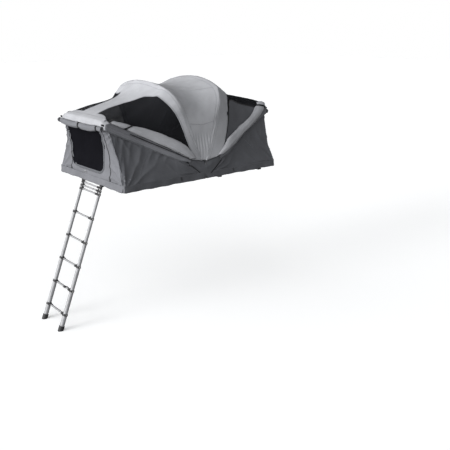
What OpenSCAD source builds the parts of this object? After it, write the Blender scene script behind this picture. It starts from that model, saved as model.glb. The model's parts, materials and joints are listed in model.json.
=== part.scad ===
// Roof top tent: a folding two-panel base on load-bar rails, a fan of four
// hoops on one pair of hinge pins, a cloth canopy and a telescopic ladder.
// X runs from the ladder end to the far end, Y across the tent, Z up.
// The origin lies midway between the four load-bar clamps, at the height
// where the rails rest on the load bars.

/* [Base panels] */
// Length of one base panel
panel_len = 1199; // [1000:1:1400]
// Width of the base over its frame
panel_w = 1550; // [1300:1:1800]
// Height of the frame extrusion
frame_h = 36; // [30:0.5:50]
// Width of the frame extrusion
frame_w = 40; // [34:0.5:60]
// Thickness of the sandwich floor
floor_t = 20; // [12:0.5:24]
// Height of the floor's underside above the frame's underside
floor_seat = 8; // [4:0.5:10]
// Depth of the groove that holds the floor
floor_lap = 14; // [8:0.5:18]
// Gap between the two panels when they lie open
panel_gap = 2; // [1:0.1:6]

/* [Mattress] */
// Thickness of each mattress half
mattress_t = 50; // [30:1:55]
// Gap between mattress and frame
mattress_gap = 8; // [4:1:30]
// Corner radius of a mattress half
mattress_r = 60; // [20:1:120]

/* [Mounting rails] */
// Height of a mounting rail
rail_h = 32; // [28:0.5:45]
// Width of a mounting rail
rail_w = 50; // [40:0.5:70]
// Distance of a rail's end from the base's edge
rail_inset = 2; // [1:0.5:4]
// Distance between the two rails
rail_spread = 700; // [500:1:900]
// Width of the slot in a rail's underside
slot_w = 11; // [9:0.1:14]
// Thickness of the slot's lips
slot_lip = 6; // [4:0.1:8]
// Width of the channel above the slot
channel_w = 24; // [20:0.5:30]
// Height of the channel above the slot
channel_h = 12; // [10:0.5:16]
// Thickness of a rail's end cap
cap_t = 6; // [3:0.5:12]
// Diameter of the bolts that hold the rails
rail_bolt_d = 8; // [6:0.5:10]

/* [Load-bar clamps] */
// Distance between the clamps along a rail
clamp_spread = 900; // [600:1:1100]
// Distance between the two bolts of a clamp
clamp_pitch = 96; // [60:1:140]
// Free height for a load bar
clamp_gap = 38; // [20:1:60]
// Thickness of a clamp plate
clamp_t = 6; // [4:0.5:10]
// Width of a clamp plate
clamp_w = 38; // [24:1:48]
// Diameter of a clamp bolt
clamp_bolt_d = 8; // [6:0.5:9]
// Height of a clamp's hand nut
hand_nut_h = 18; // [10:1:30]
// Diameter of a clamp's hand nut
hand_nut_d = 34; // [20:1:40]

/* [Hinge] */
// Height of the hinge pins above the panels' underside
hinge_h = 130; // [125:1:170]
// Diameter of a hinge pin
pin_d = 12; // [8:0.5:16]
// Thickness of the folding panel's hinge plate
hinge_plate_t = 4.6; // [3:0.1:6]
// Length of a hinge plate along the frame
hinge_plate_len = 170; // [120:1:260]
// Radius of a hinge plate's eye
hinge_eye_r = 22; // [16:0.5:28]

/* [Hoops] */
// Outer diameter of the arch tubes
arch_d = 19; // [14:0.5:20]
// Outer diameter of the end bow tubes
bow_d = 20; // [16:0.5:20.5]
// Wall of the hoop tubes
tube_wall = 1.6; // [1:0.1:2.5]
// Distance between neighbouring hoops on the pin
lane = 21; // [20.8:0.1:26]
// Width of a hoop's foot on the pin
foot_w = 20.4; // [16:0.1:20.6]
// Radius of a hoop's foot
foot_r = 20; // [16:0.5:24]
// Height of the foot's socket above the pin
socket_h = 78; // [50:1:110]

/* [Arches] */
// Rise of the wider arch above the pin
arch_rise = 1143; // [1000:1:1250]
// Lean of an arch away from upright
arch_tilt = 21; // [12:0.5:30]
// Radius of an arch's crown
crown_r = 1600; // [1300:1:2400]
// Radius of an arch's shoulders
shoulder_r = 300; // [200:1:360]
// Inward lean of an arch's legs
arch_leg_lean = 5.5; // [1:0.1:7]

/* [End bows] */
// Angle of an end bow above the base
bow_tilt = 26; // [18:0.5:34]
// Inward lean of an end bow's legs
bow_leg_lean = 8; // [4:0.1:10]
// Length of an end bow's leg from the pin
bow_leg = 1120; // [950:1:1150]
// Distance of the spreader bar from the pin
spreader_at = 1030; // [800:1:1040]
// Diameter of the spreader bar
spreader_d = 16; // [12:0.5:18]
// Distance of a tension pole's tip from the pin
pole_reach = 1445; // [1300:1:1500]
// Length of a tension pole
pole_len = 440; // [350:1:460]
// Outer diameter of a tension pole
pole_d = 16; // [14.9:0.1:16.2]
// Diameter of a tension pole's tip
tip_d = 22; // [18:0.5:26]

/* [Ladder] */
// Distance between the ladder's side rails
ladder_w = 450; // [350:1:550]
// Offset of the ladder from the tent's middle
ladder_offset = -35; // [-200:1:200]
// Lean of the ladder from upright
ladder_lean = 21.6; // [5:0.1:35]
// Distance between rungs that are pulled out
rung_pitch = 308; // [250:1:330]
// Distance between rungs that are pushed together
stack_pitch = 42; // [41:0.5:60]
// Number of rungs still pushed together at the top
stacked = 3; // [2:1:4]
// Distance of the top rung from the ladder's hinge
top_rung = 28; // [27:0.5:60]
// Length of the bottom rails below the lowest rung
foot_len = 202; // [150:1:320]
// Outer diameter of the bottom rails
ladder_tube_d = 58; // [56:0.5:64]
// Step in diameter from one section to the next
tube_step = 4; // [3.6:0.1:4.2]
// Wall of the ladder tubes
ladder_wall = 1.4; // [1:0.1:1.5]
// Length of a section's tubes below its collar
section_len = 342; // [335:1:360]
// Depth of a rung
rung_depth = 32; // [24:0.5:40]
// Height of a rung
rung_h = 20; // [16:0.5:21]
// Height of a collar
collar_h = 26; // [24:0.5:28]
// Wall of a collar
collar_wall = 4; // [3:0.1:6]
// Travel of a thumb latch
latch_travel = 4; // [2:0.5:5]

/* [Canopy] */
// Thickness of the cloth solids
cloth = 4; // [3:0.1:6]
// Height of the skirt round the base
skirt_h = 75; // [50:1:110]
// Share of a side's span that the light band beside an arch covers
band_share = 0.22; // [0.12:0.01:0.35]
// Half width of the roof strip where it leaves an arch
strip_half = 250; // [200:1:420]
// Sag of the roof strip between an arch and the end edge
roof_sag = 80; // [20:1:120]
// How far the windows lie in from a straight line between arch and bow
window_slack = 185; // [0:1:200]
// Sag of the roof between the arches
saddle_sag = 85; // [20:1:140]
// Hollow of the end walls between base and top edge
wall_hollow = 45; // [0:1:80]
// Diameter of a rolled window flap
flap_roll_d = 92; // [50:1:120]
// Diameter of a rolled door flap
door_roll_d = 70; // [40:1:100]
// Width of the door opening
door_w = 800; // [500:1:900]
// Height of the door opening
door_h = 500; // [300:1:520]
// Offset of the door from the tent's middle
door_shift = 48; // [-100:1:100]

/* [Hidden] */
$fn = 48;
fit = 0.05;
slide_fit = 0.3;
seat = 0.4;

// Places that several pieces share
hinge_x = -(panel_len + panel_gap) / 2;
half_w = panel_w / 2;
panel_end = panel_len + panel_gap / 2;
floor_top = floor_seat + floor_t;
rail_len = panel_w - 2 * rail_inset;
rail_bolt_y = half_w - (frame_w - floor_lap) / 2;
plate_layer = hinge_plate_t + seat;
pin_head_y = half_w + plate_layer + hinge_plate_t;
pin_head_h = 7;
nut_h = 10;
track_h = 4;
track_d = 6;
track_z = frame_h - 10;

// Butted tubes of an arch
butt_gap = 0.2;
spigot_len = 40;
spigot_play = 0.9;

// Hoops: lane 0 is the right arch, 1 the left arch, 2 the right bow, 3 the left bow
bend_r = 150;
function lane_y(i) = half_w - 1 - foot_w / 2 - i * lane;
function arch_inset(i) = i * lane;
function leg_start(i, lean) = [lane_y(i) - bend_r * (1 - cos(lean)), socket_h + bend_r * sin(lean)];
function leg_dir(lean) = [-sin(lean), cos(lean)];
function out_dir(a) = [cos(a), sin(a)];
function crown_centre(i) = [0, arch_rise - arch_inset(i) - (crown_r - arch_inset(i))];
function shoulder_base(i) =
  leg_start(i, arch_leg_lean) - (shoulder_r - arch_inset(i)) * out_dir(arch_leg_lean) - crown_centre(i);
function arch_leg(i) =
  let (f = shoulder_base(i), along = f * leg_dir(arch_leg_lean), reach = crown_r - shoulder_r)
  sqrt(along * along - f * f + reach * reach) - along;
function shoulder_centre(i) =
  shoulder_base(i) + crown_centre(i) + arch_leg(i) * leg_dir(arch_leg_lean);
function shoulder_end(i) =
  let (d = shoulder_centre(i) - crown_centre(i)) atan2(d[1], d[0]);

// Ladder
rungs = 8;
ladder_x = -panel_end - 5;
ladder_z = -18;
ladder_pin_d = 10;
ear_gap = 40;
ear_t = 4;
ear_r = 14;
latch_y = 14;
latch_x = 22;
latch_rise = 12;
boss_len = 42;
boss_depth = rung_depth + 8;
rung_lap = 20;
lip_t = 3;
heel_len = 30;
heel_w = 30;
strap_y = -60;
strap_w = 48;
strap_t = 3;
strap_roll_d = 18;
shoe_h = 90;
shoe_sole = 30;
shoe_floor = 12;
function rung_at(k) = k > rungs - stacked
  ? top_rung + (rungs - k) * stack_pitch
  : top_rung + (stacked - 1) * stack_pitch + (rungs - stacked + 1 - k) * rung_pitch;
function tube_d(k) = ladder_tube_d - (k - 1) * tube_step;
ladder_len = rung_at(1) + foot_len;

// Cloth
cloth_gap = 0.4;
mesh_gap = 0.5;
bow_gap = 3.2;
seam_drop = 1.5;
seam_share = 0.0005;
skin_y = half_w + 20;
skin_x = panel_end + 11;
corner_r = 25;
knee_at = 330;
knee_z = 245;
arch_foot = 145;
edge_at = pole_reach - 30;
function lerp(a, b, t) = a + (b - a) * t;
function clamp01(t) = max(0, min(1, t));
function smooth(t) = let (c = clamp01(t)) c * c * (3 - 2 * c);
function unit(v) = v / norm(v);

module at_tent() translate([hinge_x, 0, rail_h]) children();
module both_sides() {
  children();
  mirror([0, 1, 0]) children();
}
module fold_side() mirror([1, 0, 0]) children();

// Base panels
module panel_frame() {
  inset = frame_w - floor_lap;
  difference() {
    translate([panel_gap / 2, -half_w, 0]) cube([panel_len, panel_w, frame_h]);
    translate([panel_gap / 2 + frame_w, -half_w + frame_w, -1])
      cube([panel_len - 2 * frame_w, panel_w - 2 * frame_w, frame_h + 2]);
    translate([panel_gap / 2 + inset, -half_w + inset, floor_seat])
      cube([panel_len - 2 * inset, panel_w - 2 * inset, floor_t + slide_fit]);
    for (s = [-1, 1]) translate([panel_gap / 2 - 1, s * half_w - track_d, track_z])
      cube([panel_len + 2, 2 * track_d, track_h]);
    translate([panel_end - track_d, -half_w - 1, track_z]) cube([2 * track_d, panel_w + 2, track_h]);
  }
}
module floor_board() {
  inset = frame_w - floor_lap + slide_fit;
  translate([panel_gap / 2 + inset, -half_w + inset, floor_seat])
    cube([panel_len - 2 * inset, panel_w - 2 * inset, floor_t]);
}
function round_corner(c, r, a) = [for (j = [0:6]) c + r * out_dir(a + 15 * j)];
module mattress() {
  x0 = panel_gap / 2 + frame_w + mattress_gap;
  x1 = panel_end - frame_w - mattress_gap;
  y1 = half_w - frame_w - mattress_gap;
  r = mattress_r;
  translate([0, 0, floor_top + slide_fit]) linear_extrude(mattress_t)
    polygon(concat(
      round_corner([x1 - r, y1 - r], r, 0), round_corner([x0 + r, y1 - r], r, 90),
      round_corner([x0 + r, -y1 + r], r, 180), round_corner([x1 - r, -y1 + r], r, 270)));
}
module rail_bolt_places() for (x = [-1, 1], y = [-1, 1])
  translate([x * rail_spread / 2, y * rail_bolt_y, 0]) children();

module fixed_panel() color("gainsboro") at_tent() floor_board();
module fixed_frame() color("silver") difference() {
  at_tent() panel_frame();
  rail_bolt_places() cylinder(d = rail_bolt_d + 2 * slide_fit, h = rail_h + floor_top);
}
module mattress_fixed() color("dimgray") at_tent() mattress();
module fold_panel() color("gainsboro") at_tent() fold_side() floor_board();
module fold_frame() color("silver") at_tent() fold_side() panel_frame();
module mattress_fold() color("dimgray") at_tent() fold_side() mattress();

// Mounting rails and load-bar clamps
module rail_outline() polygon([
  [-rail_w / 2, 0], [-slot_w / 2, 0], [-slot_w / 2, slot_lip], [-channel_w / 2, slot_lip],
  [-channel_w / 2, slot_lip + channel_h], [channel_w / 2, slot_lip + channel_h],
  [channel_w / 2, slot_lip], [slot_w / 2, slot_lip], [slot_w / 2, 0], [rail_w / 2, 0],
  [rail_w / 2, rail_h * 0.6], [rail_w * 0.42, rail_h], [-rail_w * 0.42, rail_h],
  [-rail_w / 2, rail_h * 0.6]]);
module rail_places() for (x = [-1, 1]) translate([x * rail_spread / 2, 0, 0]) children();
module mounting_rails() color("darkgray") difference() {
  rail_places() rotate([90, 0, 0]) linear_extrude(rail_len, center = true) rail_outline();
  rail_bolt_places() translate([0, 0, slot_lip]) cylinder(d = rail_bolt_d + 2 * slide_fit, h = rail_h);
}
module rail_caps() color("black") rail_places() both_sides()
  translate([0, rail_len / 2 + cap_t, 1]) rotate([90, 0, 0]) linear_extrude(cap_t)
    polygon([[-rail_w / 2, 0], [rail_w / 2, 0], [rail_w / 2, rail_h * 0.6],
      [rail_w * 0.42, rail_h - 2], [-rail_w * 0.42, rail_h - 2], [-rail_w / 2, rail_h * 0.6]]);
module rail_bolts() color("dimgray") rail_bolt_places() translate([0, 0, slot_lip + channel_h]) {
  translate([0, 0, -5]) cylinder(d = rail_bolt_d * 1.6, h = 5);
  cylinder(d = rail_bolt_d, h = rail_h - slot_lip - channel_h + floor_top - 4);
}
module clamp(x, y) {
  plate_z = -clamp_gap - clamp_t;
  head_h = channel_h - 4;
  translate([x * rail_spread / 2, y * clamp_spread / 2, 0]) {
    for (s = [-1, 1]) translate([0, s * clamp_pitch / 2, 0]) {
      translate([-channel_w / 2 + slide_fit, -10, slot_lip + slide_fit])
        cube([channel_w - 2 * slide_fit, 20, head_h]);
      translate([0, 0, plate_z - hand_nut_h - 6])
        cylinder(d = clamp_bolt_d, h = slot_lip + 1 - plate_z + hand_nut_h + 6);
      difference() {
        translate([0, 0, plate_z - hand_nut_h]) union() {
          cylinder(d = hand_nut_d * 0.7, h = hand_nut_h);
          for (a = [0:60:300]) rotate(a) translate([hand_nut_d * 0.36, 0, 0])
            cylinder(d = hand_nut_d * 0.28, h = hand_nut_h * 0.8);
        }
        translate([0, 0, plate_z - hand_nut_h - 1]) cylinder(d = clamp_bolt_d + 2 * fit, h = hand_nut_h + 2);
      }
    }
    difference() {
      translate([0, 0, plate_z]) union() {
        translate([-clamp_w / 2, -clamp_pitch / 2, 0]) cube([clamp_w, clamp_pitch, clamp_t]);
        for (s = [-1, 1]) translate([0, s * clamp_pitch / 2, 0]) cylinder(d = clamp_w, h = clamp_t);
      }
      for (s = [-1, 1]) translate([0, s * clamp_pitch / 2, plate_z - 1])
        cylinder(d = clamp_bolt_d + 2 * slide_fit, h = clamp_t + 2);
    }
  }
}

// Hinge plates and pins
module hinge_outline() difference() {
  union() {
    polygon([[8, 2], [hinge_plate_len, 2], [hinge_plate_len, frame_h - 6], [hinge_plate_len - 20, frame_h],
      [hinge_eye_r, hinge_h], [-hinge_eye_r, hinge_h], [8, frame_h]]);
    translate([0, hinge_h]) circle(r = hinge_eye_r);
  }
  translate([0, hinge_h]) circle(d = pin_d + 2 * fit);
}
module hinge_pad() polygon([[8, 2], [hinge_plate_len, 2], [hinge_plate_len, frame_h - 6], [8, frame_h - 6]]);
module upright(y, t) translate([0, y + t, 0]) rotate([90, 0, 0]) linear_extrude(t) children();
module hinge_plates_fixed() color("slategray") at_tent() both_sides() {
  upright(half_w + plate_layer, hinge_plate_t) hinge_outline();
  upright(half_w, plate_layer) hinge_pad();
}
module hinge_plates_fold() color("slategray") at_tent() both_sides() fold_side()
  upright(half_w, hinge_plate_t) hinge_outline();
module hinge_pins() color("dimgray") at_tent() both_sides() translate([0, 0, hinge_h]) rotate([-90, 0, 0]) {
  pin_in = lane_y(3) - foot_w / 2 - seat;
  translate([0, 0, pin_in - nut_h - 4]) cylinder(d = pin_d, h = pin_head_y + 1 - pin_in + nut_h + 4);
  translate([0, 0, pin_head_y]) cylinder(d = pin_d * 1.8, h = pin_head_h);
  difference() {
    translate([0, 0, pin_in - nut_h]) cylinder(d = pin_d * 1.8, h = nut_h, $fn = 6);
    translate([0, 0, pin_in - nut_h - 1]) cylinder(d = pin_d + 2 * fit, h = nut_h + 2);
  }
}

// Hoops lie in a plane with Y across and the distance from the pin upwards
module hoop_plane(angle) translate([0, 0, hinge_h]) rotate([0, -angle, 0])
  rotate([180, 0, 90]) children();
module tube_ring(d) difference() {
  circle(d = d);
  circle(d = d - 2 * tube_wall);
}
module tube_line(p, dir, len, d) translate([p[0], p[1], 0]) rotate([0, 0, atan2(dir[1], dir[0])])
  rotate([0, 90, 0]) linear_extrude(len) tube_ring(d);
module tube_arc(c, r, a0, a1, d) translate([c[0], c[1], 0]) rotate([0, 0, a0])
  rotate_extrude(angle = a1 - a0, $fn = 96) translate([r, 0]) tube_ring(d);
module hoop_foot(i, d) {
  rod_d = d - 2 * tube_wall - 2 * fit;
  difference() {
    union() {
      translate([lane_y(i), 0, 0]) rotate([0, 90, 0]) cylinder(r = foot_r, h = foot_w, center = true);
      translate([lane_y(i), 0, 0]) rotate([-90, 0, 0]) cylinder(d = rod_d, h = socket_h - 4);
    }
    translate([lane_y(i), 0, 0]) rotate([0, 90, 0])
      cylinder(d = pin_d + 2 * fit, h = foot_w + 2, center = true);
  }
}
module leg_root(i, lean, d) {
  foot_top = foot_r + seat;
  tube_line([lane_y(i), foot_top], [0, 1], socket_h - foot_top, d);
  tube_arc([lane_y(i) - bend_r, socket_h], bend_r, 0, lean, d);
}
// An arch is three bent lengths and two legs of tube, butted over inner spigots
module spigot(c, r, a) translate([c[0], c[1], 0]) rotate([0, 0, a]) translate([r, 0, 0])
  rotate([90, 0, 0]) cylinder(d = arch_d - 2 * tube_wall - 2 * spigot_play, h = spigot_len, center = true);
module half_arch(i) {
  lean = arch_leg_lean;
  bend = shoulder_r - arch_inset(i);
  butt = butt_gap / bend * 180 / PI;
  union() {
    leg_root(i, lean, arch_d);
    tube_line(leg_start(i, lean), leg_dir(lean), arch_leg(i), arch_d);
  }
  tube_arc(shoulder_centre(i), bend, lean + butt, shoulder_end(i) - butt, arch_d);
  spigot(shoulder_centre(i), bend, lean);
  spigot(shoulder_centre(i), bend, shoulder_end(i));
  hoop_foot(i, arch_d);
}
module mirror_half() {
  children();
  mirror([1, 0, 0]) children();
}
module arch(i, angle) color("lightgray") at_tent() hoop_plane(angle) {
  mirror_half() half_arch(i);
  tube_arc(crown_centre(i), crown_r - arch_inset(i), shoulder_end(i), 180 - shoulder_end(i), arch_d);
}

// End bows with their spreader bar, and the tension poles inside their legs
function leg_at(reach, i) = (reach - leg_start(i, bow_leg_lean)[1]) / cos(bow_leg_lean);
function leg_point(i, reach) = leg_start(i, bow_leg_lean) + leg_at(reach, i) * leg_dir(bow_leg_lean);
module along_leg(i, reach) translate([leg_point(i, reach)[0], leg_point(i, reach)[1], 0])
  rotate([0, 0, bow_leg_lean]) rotate([-90, 0, 0]) children();
module half_bow(i) {
  tee_len = 44;
  tee_d = bow_d + 7;
  lock_len = 36;
  spread_y = leg_point(i, spreader_at)[0];
  hoop_foot(i, bow_d);
  union() {
    leg_root(i, bow_leg_lean, bow_d);
    tube_line(leg_start(i, bow_leg_lean), leg_dir(bow_leg_lean), leg_at(bow_leg, i), bow_d);
  }
  difference() {
    union() {
      along_leg(i, spreader_at) cylinder(d = tee_d, h = tee_len, center = true);
      translate([spread_y - 44, spreader_at, 0]) rotate([0, 90, 0]) cylinder(d = spreader_d + 6, h = 42);
    }
    along_leg(i, spreader_at) cylinder(d = bow_d + 2 * fit, h = tee_len + 60, center = true);
    translate([spread_y - 46, spreader_at, 0]) rotate([0, 90, 0])
      cylinder(d = spreader_d + 2 * fit, h = 46 - bow_d / 2 - 3);
  }
  difference() {
    along_leg(i, bow_leg) translate([0, 0, -lock_len]) cylinder(d = bow_d + 6, h = lock_len + 3);
    along_leg(i, bow_leg) translate([0, 0, -lock_len - 1]) cylinder(d = bow_d + 2 * fit, h = lock_len + 1);
    along_leg(i, bow_leg) cylinder(d = pole_d + 2 * slide_fit, h = 2 * lock_len, center = true);
  }
}
module bow(i, angle) color("lightgray") at_tent() hoop_plane(angle) {
  spread_y = leg_point(i, spreader_at)[0] - bow_d / 2 - 4;
  mirror_half() half_bow(i);
  translate([0, spreader_at, 0]) rotate([0, 90, 0]) cylinder(d = spreader_d, h = 2 * spread_y, center = true);
}
module pole(i, angle, side) color("black") at_tent() hoop_plane(angle) mirror([side < 0 ? 1 : 0, 0, 0])
  along_leg(i, pole_reach) {
    tip_len = 34;
    translate([0, 0, -pole_len]) cylinder(d = pole_d, h = pole_len - 6);
    difference() {
      union() {
        translate([0, 0, -tip_len]) cylinder(d = tip_d, h = tip_len - tip_d / 2);
        translate([0, 0, -tip_d / 2]) sphere(d = tip_d);
      }
      translate([0, 0, -tip_len - 1]) cylinder(d = pole_d + 2 * fit, h = tip_len - 5 + 2 * fit);
    }
  }

// Ladder
module at_ladder() at_tent() translate([ladder_x, ladder_offset, ladder_z])
  rotate([0, ladder_lean, 0]) children();
module rail_pair() both_sides() translate([0, ladder_w / 2, 0]) children();
module rung_outline(grow) {
  x = rung_depth / 2 + grow;
  z = rung_h / 2 + grow;
  c = 5;
  polygon([[x, z - c], [x - c, z], [c - x, z], [-x, z - c],
    [-x, c - z], [c - x, -z], [x - c, -z], [x, c - z]]);
}
module rung_bar(half, grow) rotate([90, 0, 0]) linear_extrude(2 * half, center = true) rung_outline(grow);
function rung_half(k) = ladder_w / 2 - tube_d(k) / 2 - collar_wall - boss_len + rung_lap;
module ladder_section(k) color("silver") at_ladder() {
  top = rung_at(k) - collar_h / 2 + lip_t;
  bottom = k == 1 ? ladder_len - 12 : rung_at(k) + section_len;
  rail_pair() translate([0, 0, -bottom]) difference() {
    cylinder(d = tube_d(k), h = bottom - top);
    translate([0, 0, -1]) cylinder(d = tube_d(k) - 2 * ladder_wall, h = bottom - top + 2);
  }
  translate([0, 0, -rung_at(k)]) rung_bar(rung_half(k), 0);
}
module hinge_eye() {
  rotate([90, 0, 0]) cylinder(r = ear_r - 1, h = ear_gap - 2, center = true);
  translate([0, 0, -top_rung]) cylinder(d = tube_d(rungs), h = top_rung);
}
module latch_block(k, grow, low, high) {
  y = tube_d(k) / 2 + collar_wall + latch_y / 2 + 4;
  translate([-latch_x / 2 - grow, -y - latch_y / 2 - grow, low])
    cube([latch_x + 2 * grow, latch_y + 2 * grow, high - low]);
}
module ladder_collars(k) color("black") at_ladder() difference() {
  ring_d = tube_d(k) + 2 * collar_wall;
  union() {
    rail_pair() translate([0, 0, -rung_at(k)]) {
      cylinder(d = ring_d, h = collar_h, center = true);
      translate([-boss_depth / 2, -ring_d / 2 - boss_len, -collar_h / 2])
        cube([boss_depth, boss_len + collar_wall, collar_h]);
    }
    if (k == rungs) rail_pair() {
      hinge_eye();
      rotate([0, -ladder_lean, 0]) translate([0, -heel_w / 2, 0])
        cube([heel_len, heel_w, -ladder_z - ear_t - seat]);
    }
  }
  rail_pair() translate([0, 0, -rung_at(k)]) {
    translate([0, 0, -collar_h / 2 - 1]) cylinder(d = tube_d(k) + 2 * fit, h = collar_h + 1 - lip_t);
    if (k < rungs) {
      cylinder(d = tube_d(k + 1) + 4 * slide_fit, h = collar_h);
      latch_block(k, slide_fit, 0, collar_h);
    }
  }
  translate([0, 0, -rung_at(k)]) rung_bar(rung_half(k) + fit, fit);
  if (k == rungs) rotate([90, 0, 0]) cylinder(d = ladder_pin_d + 2 * fit, h = 2 * ladder_w, center = true);
}
module ladder_latches(k) color("black") at_ladder() rail_pair() translate([0, 0, -rung_at(k)])
  latch_block(k, 0, latch_travel + slide_fit, collar_h / 2 + latch_rise);
module ladder_feet() color("black") {
  shoe_d = ladder_tube_d + 12;
  ground = ladder_z - ladder_len * cos(ladder_lean);
  difference() {
    at_ladder() rail_pair() difference() {
      translate([0, 0, -ladder_len - shoe_sole]) cylinder(d = shoe_d, h = shoe_h);
      translate([0, 0, -ladder_len + shoe_floor]) cylinder(d = ladder_tube_d + 2 * fit, h = shoe_h);
    }
    at_tent() translate([-4 * panel_len, -panel_w, ground - panel_w])
      cube([4 * panel_len, 2 * panel_w, panel_w]);
  }
}
module ladder_strap() color("black") at_ladder() translate([0, strap_y, -rung_at(2)]) {
  difference() {
    rung_bar(strap_w / 2, slide_fit + strap_t);
    rung_bar(strap_w / 2 + 1, slide_fit);
  }
  translate([(rung_depth + strap_roll_d) / 2 + slide_fit + strap_t, 0, 0]) rotate([90, 0, 0])
    cylinder(d = strap_roll_d, h = strap_w - 2, center = true);
}
module ladder_brackets() color("slategray") at_tent()
  translate([ladder_x, ladder_offset, 0]) rail_pair() {
    plate_w = ear_gap + 2 * ear_t + 20;
    difference() {
      union() {
        translate([16, -plate_w / 2, -ear_t]) cube([74, plate_w, ear_t]);
        for (s = [-1, 1]) translate([0, s * (ear_gap + ear_t) / 2, 0]) rotate([90, 0, 0])
          linear_extrude(ear_t, center = true) {
            translate([0, ladder_z]) circle(r = ear_r);
            polygon([[-8, ladder_z - 11], [8, ladder_z - 13], [80, -ear_t],
              [80, -1], [16, -1], [4, ladder_z + 13]]);
          }
      }
      translate([0, 0, ladder_z]) rotate([90, 0, 0])
        cylinder(d = ladder_pin_d + 2 * fit, h = 100, center = true);
    }
    translate([0, 0, ladder_z]) rotate([90, 0, 0]) {
      cylinder(d = ladder_pin_d, h = ear_gap + 2 * ear_t + 4, center = true);
      for (s = [-1, 1]) translate([0, 0, s * (ear_gap / 2 + ear_t + 1.5 + fit)])
        cylinder(d = ladder_pin_d * 1.6, h = 3, center = true);
    }
  }

// Cloth: a patch is a grid of points, thickened inwards into a closed solid.
// Points are for the right half of the tent, and the left half mirrors them.
function grid_normal(g, i, j) =
  let (m = len(g) - 1, n = len(g[0]) - 1,
    du = g[min(i + 1, m)][j] - g[max(i - 1, 0)][j],
    dv = g[i][min(j + 1, n)] - g[i][max(j - 1, 0)])
  unit(cross(du, dv));
function sunk(g, depth) = [for (i = [0:len(g) - 1])
  [for (j = [0:len(g[0]) - 1]) g[i][j] - depth * grid_normal(g, i, j)]];
module patch(g, depth, t) {
  top = sunk(g, depth);
  low = sunk(g, depth + t);
  m = len(g);
  n = len(g[0]);
  all = concat([for (r = top) for (p = r) p], [for (r = low) for (p = r) p]);
  function at(i, j) = i * n + j;
  function under(i, j) = m * n + i * n + j;
  skin = [for (i = [0:m - 2]) for (j = [0:n - 2]) each [
    [at(i, j), at(i, j + 1), at(i + 1, j + 1)], [at(i, j), at(i + 1, j + 1), at(i + 1, j)],
    [under(i, j), under(i + 1, j + 1), under(i, j + 1)],
    [under(i, j), under(i + 1, j), under(i + 1, j + 1)]]];
  ends = [for (i = [0:m - 2]) each [
    [at(i, 0), at(i + 1, 0), under(i + 1, 0)], [at(i, 0), under(i + 1, 0), under(i, 0)],
    [at(i + 1, n - 1), at(i, n - 1), under(i, n - 1)],
    [at(i + 1, n - 1), under(i, n - 1), under(i + 1, n - 1)]]];
  sides = [for (j = [0:n - 2]) each [
    [at(0, j + 1), at(0, j), under(0, j)], [at(0, j + 1), under(0, j), under(0, j + 1)],
    [at(m - 1, j), at(m - 1, j + 1), under(m - 1, j + 1)],
    [at(m - 1, j), under(m - 1, j + 1), under(m - 1, j)]]];
  polyhedron(points = all, faces = concat(skin, ends, sides));
}
function whole(half) = concat(
  [for (p = half) [-p[0], p[1]]], [for (j = [len(half) - 2:-1:0]) half[j]]);
function in_plane(p, angle) = [p[1] * cos(angle), p[0], hinge_h + p[1] * sin(angle)];

// Outline of the cloth over an arch, from its foot to its crown
leg_rows = 6;
shoulder_rows = 7;
crown_rows = 6;
function arch_line(i, off) =
  let (lean = arch_leg_lean, e = leg_start(i, lean) + off * out_dir(lean), u = leg_dir(lean),
    first = (arch_foot - e[1]) / cos(lean), last = shoulder_end(i))
  concat(
    [for (j = [0:leg_rows - 1]) e + lerp(first, arch_leg(i), j / leg_rows) * u],
    [for (j = [0:shoulder_rows - 1]) shoulder_centre(i)
      + (shoulder_r - arch_inset(i) + off) * out_dir(lerp(lean, last, j / shoulder_rows))],
    [for (j = [0:crown_rows]) crown_centre(i)
      + (crown_r - arch_inset(i) + off) * out_dir(lerp(last, 90, j / crown_rows))]);
// Outline of the cloth along an end bow's leg and the roof's end edge
function bow_line(i) =
  let (edge_y = leg_point(i, edge_at)[0], round = 60, rows = leg_rows + shoulder_rows)
  concat(
    [for (j = [0:rows - 2]) leg_point(i, lerp(knee_at, edge_at - round, j / (rows - 2)))],
    [[edge_y - round * 0.4, edge_at - round * 0.15]],
    [for (j = [0:crown_rows]) [(edge_y - round) * pow(1 - j / crown_rows, 1.5), edge_at]]);
// The cloth stands off the bow's tube: up and out above it, out and down below it
function bow_skin(p, up) =
  let (stand = (bow_d / 2 + bow_gap + cloth) / sqrt(2), side = sign(p[0]) * min(1, abs(p[0]) / 100),
    bulge = 85 * (1 - smooth((p[1] - knee_at) / 600)))
  in_plane(p, bow_tilt) + stand * [-up * sin(bow_tilt), side, up * cos(bow_tilt)] + [0, side * bulge, 0];
function side_rows(a, b) = let (off = arch_d / 2 + cloth_gap + cloth,
    arch_pts = whole(arch_line(a, off)), bow_pts = whole(bow_line(b)))
  [for (j = [0:len(arch_pts) - 1])
    [in_plane(arch_pts[j], 90 - arch_tilt), bow_skin(bow_pts[j], 1)]];
// Slack cloth lies lower and further in than a straight line. A window is slackest
// half way to the bow, and the roof strip close to the arch.
function slack_share(v, late) =
  let (peak = 1.5 / (1.5 + late)) pow(v / peak, 1.5) * pow((1 - v) / (1 - peak), late);
function row_past(j, n) = (min(j, n - j) - leg_rows - shoulder_rows) / crown_rows;
function slack(j, n) =
  let (low = leg_rows / 2, top = leg_rows + shoulder_rows, past = row_past(j, n),
    rise = smooth((min(j, n - j) - low) / (top - low)),
    side = past < 0 ? rise : 1 - past,
    drop = lerp(0.9 * window_slack * rise, roof_sag, smooth(1.5 * past)))
  [0, (2 * j < n ? 1 : -1) * window_slack * side, -drop];
function span(rows, j, v) =
  let (n = len(rows) - 1, late = lerp(1.5, 3, smooth(1.5 * row_past(j, n))))
  lerp(rows[j][0], rows[j][1], v) + slack_share(v, late) * slack(j, n);
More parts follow.
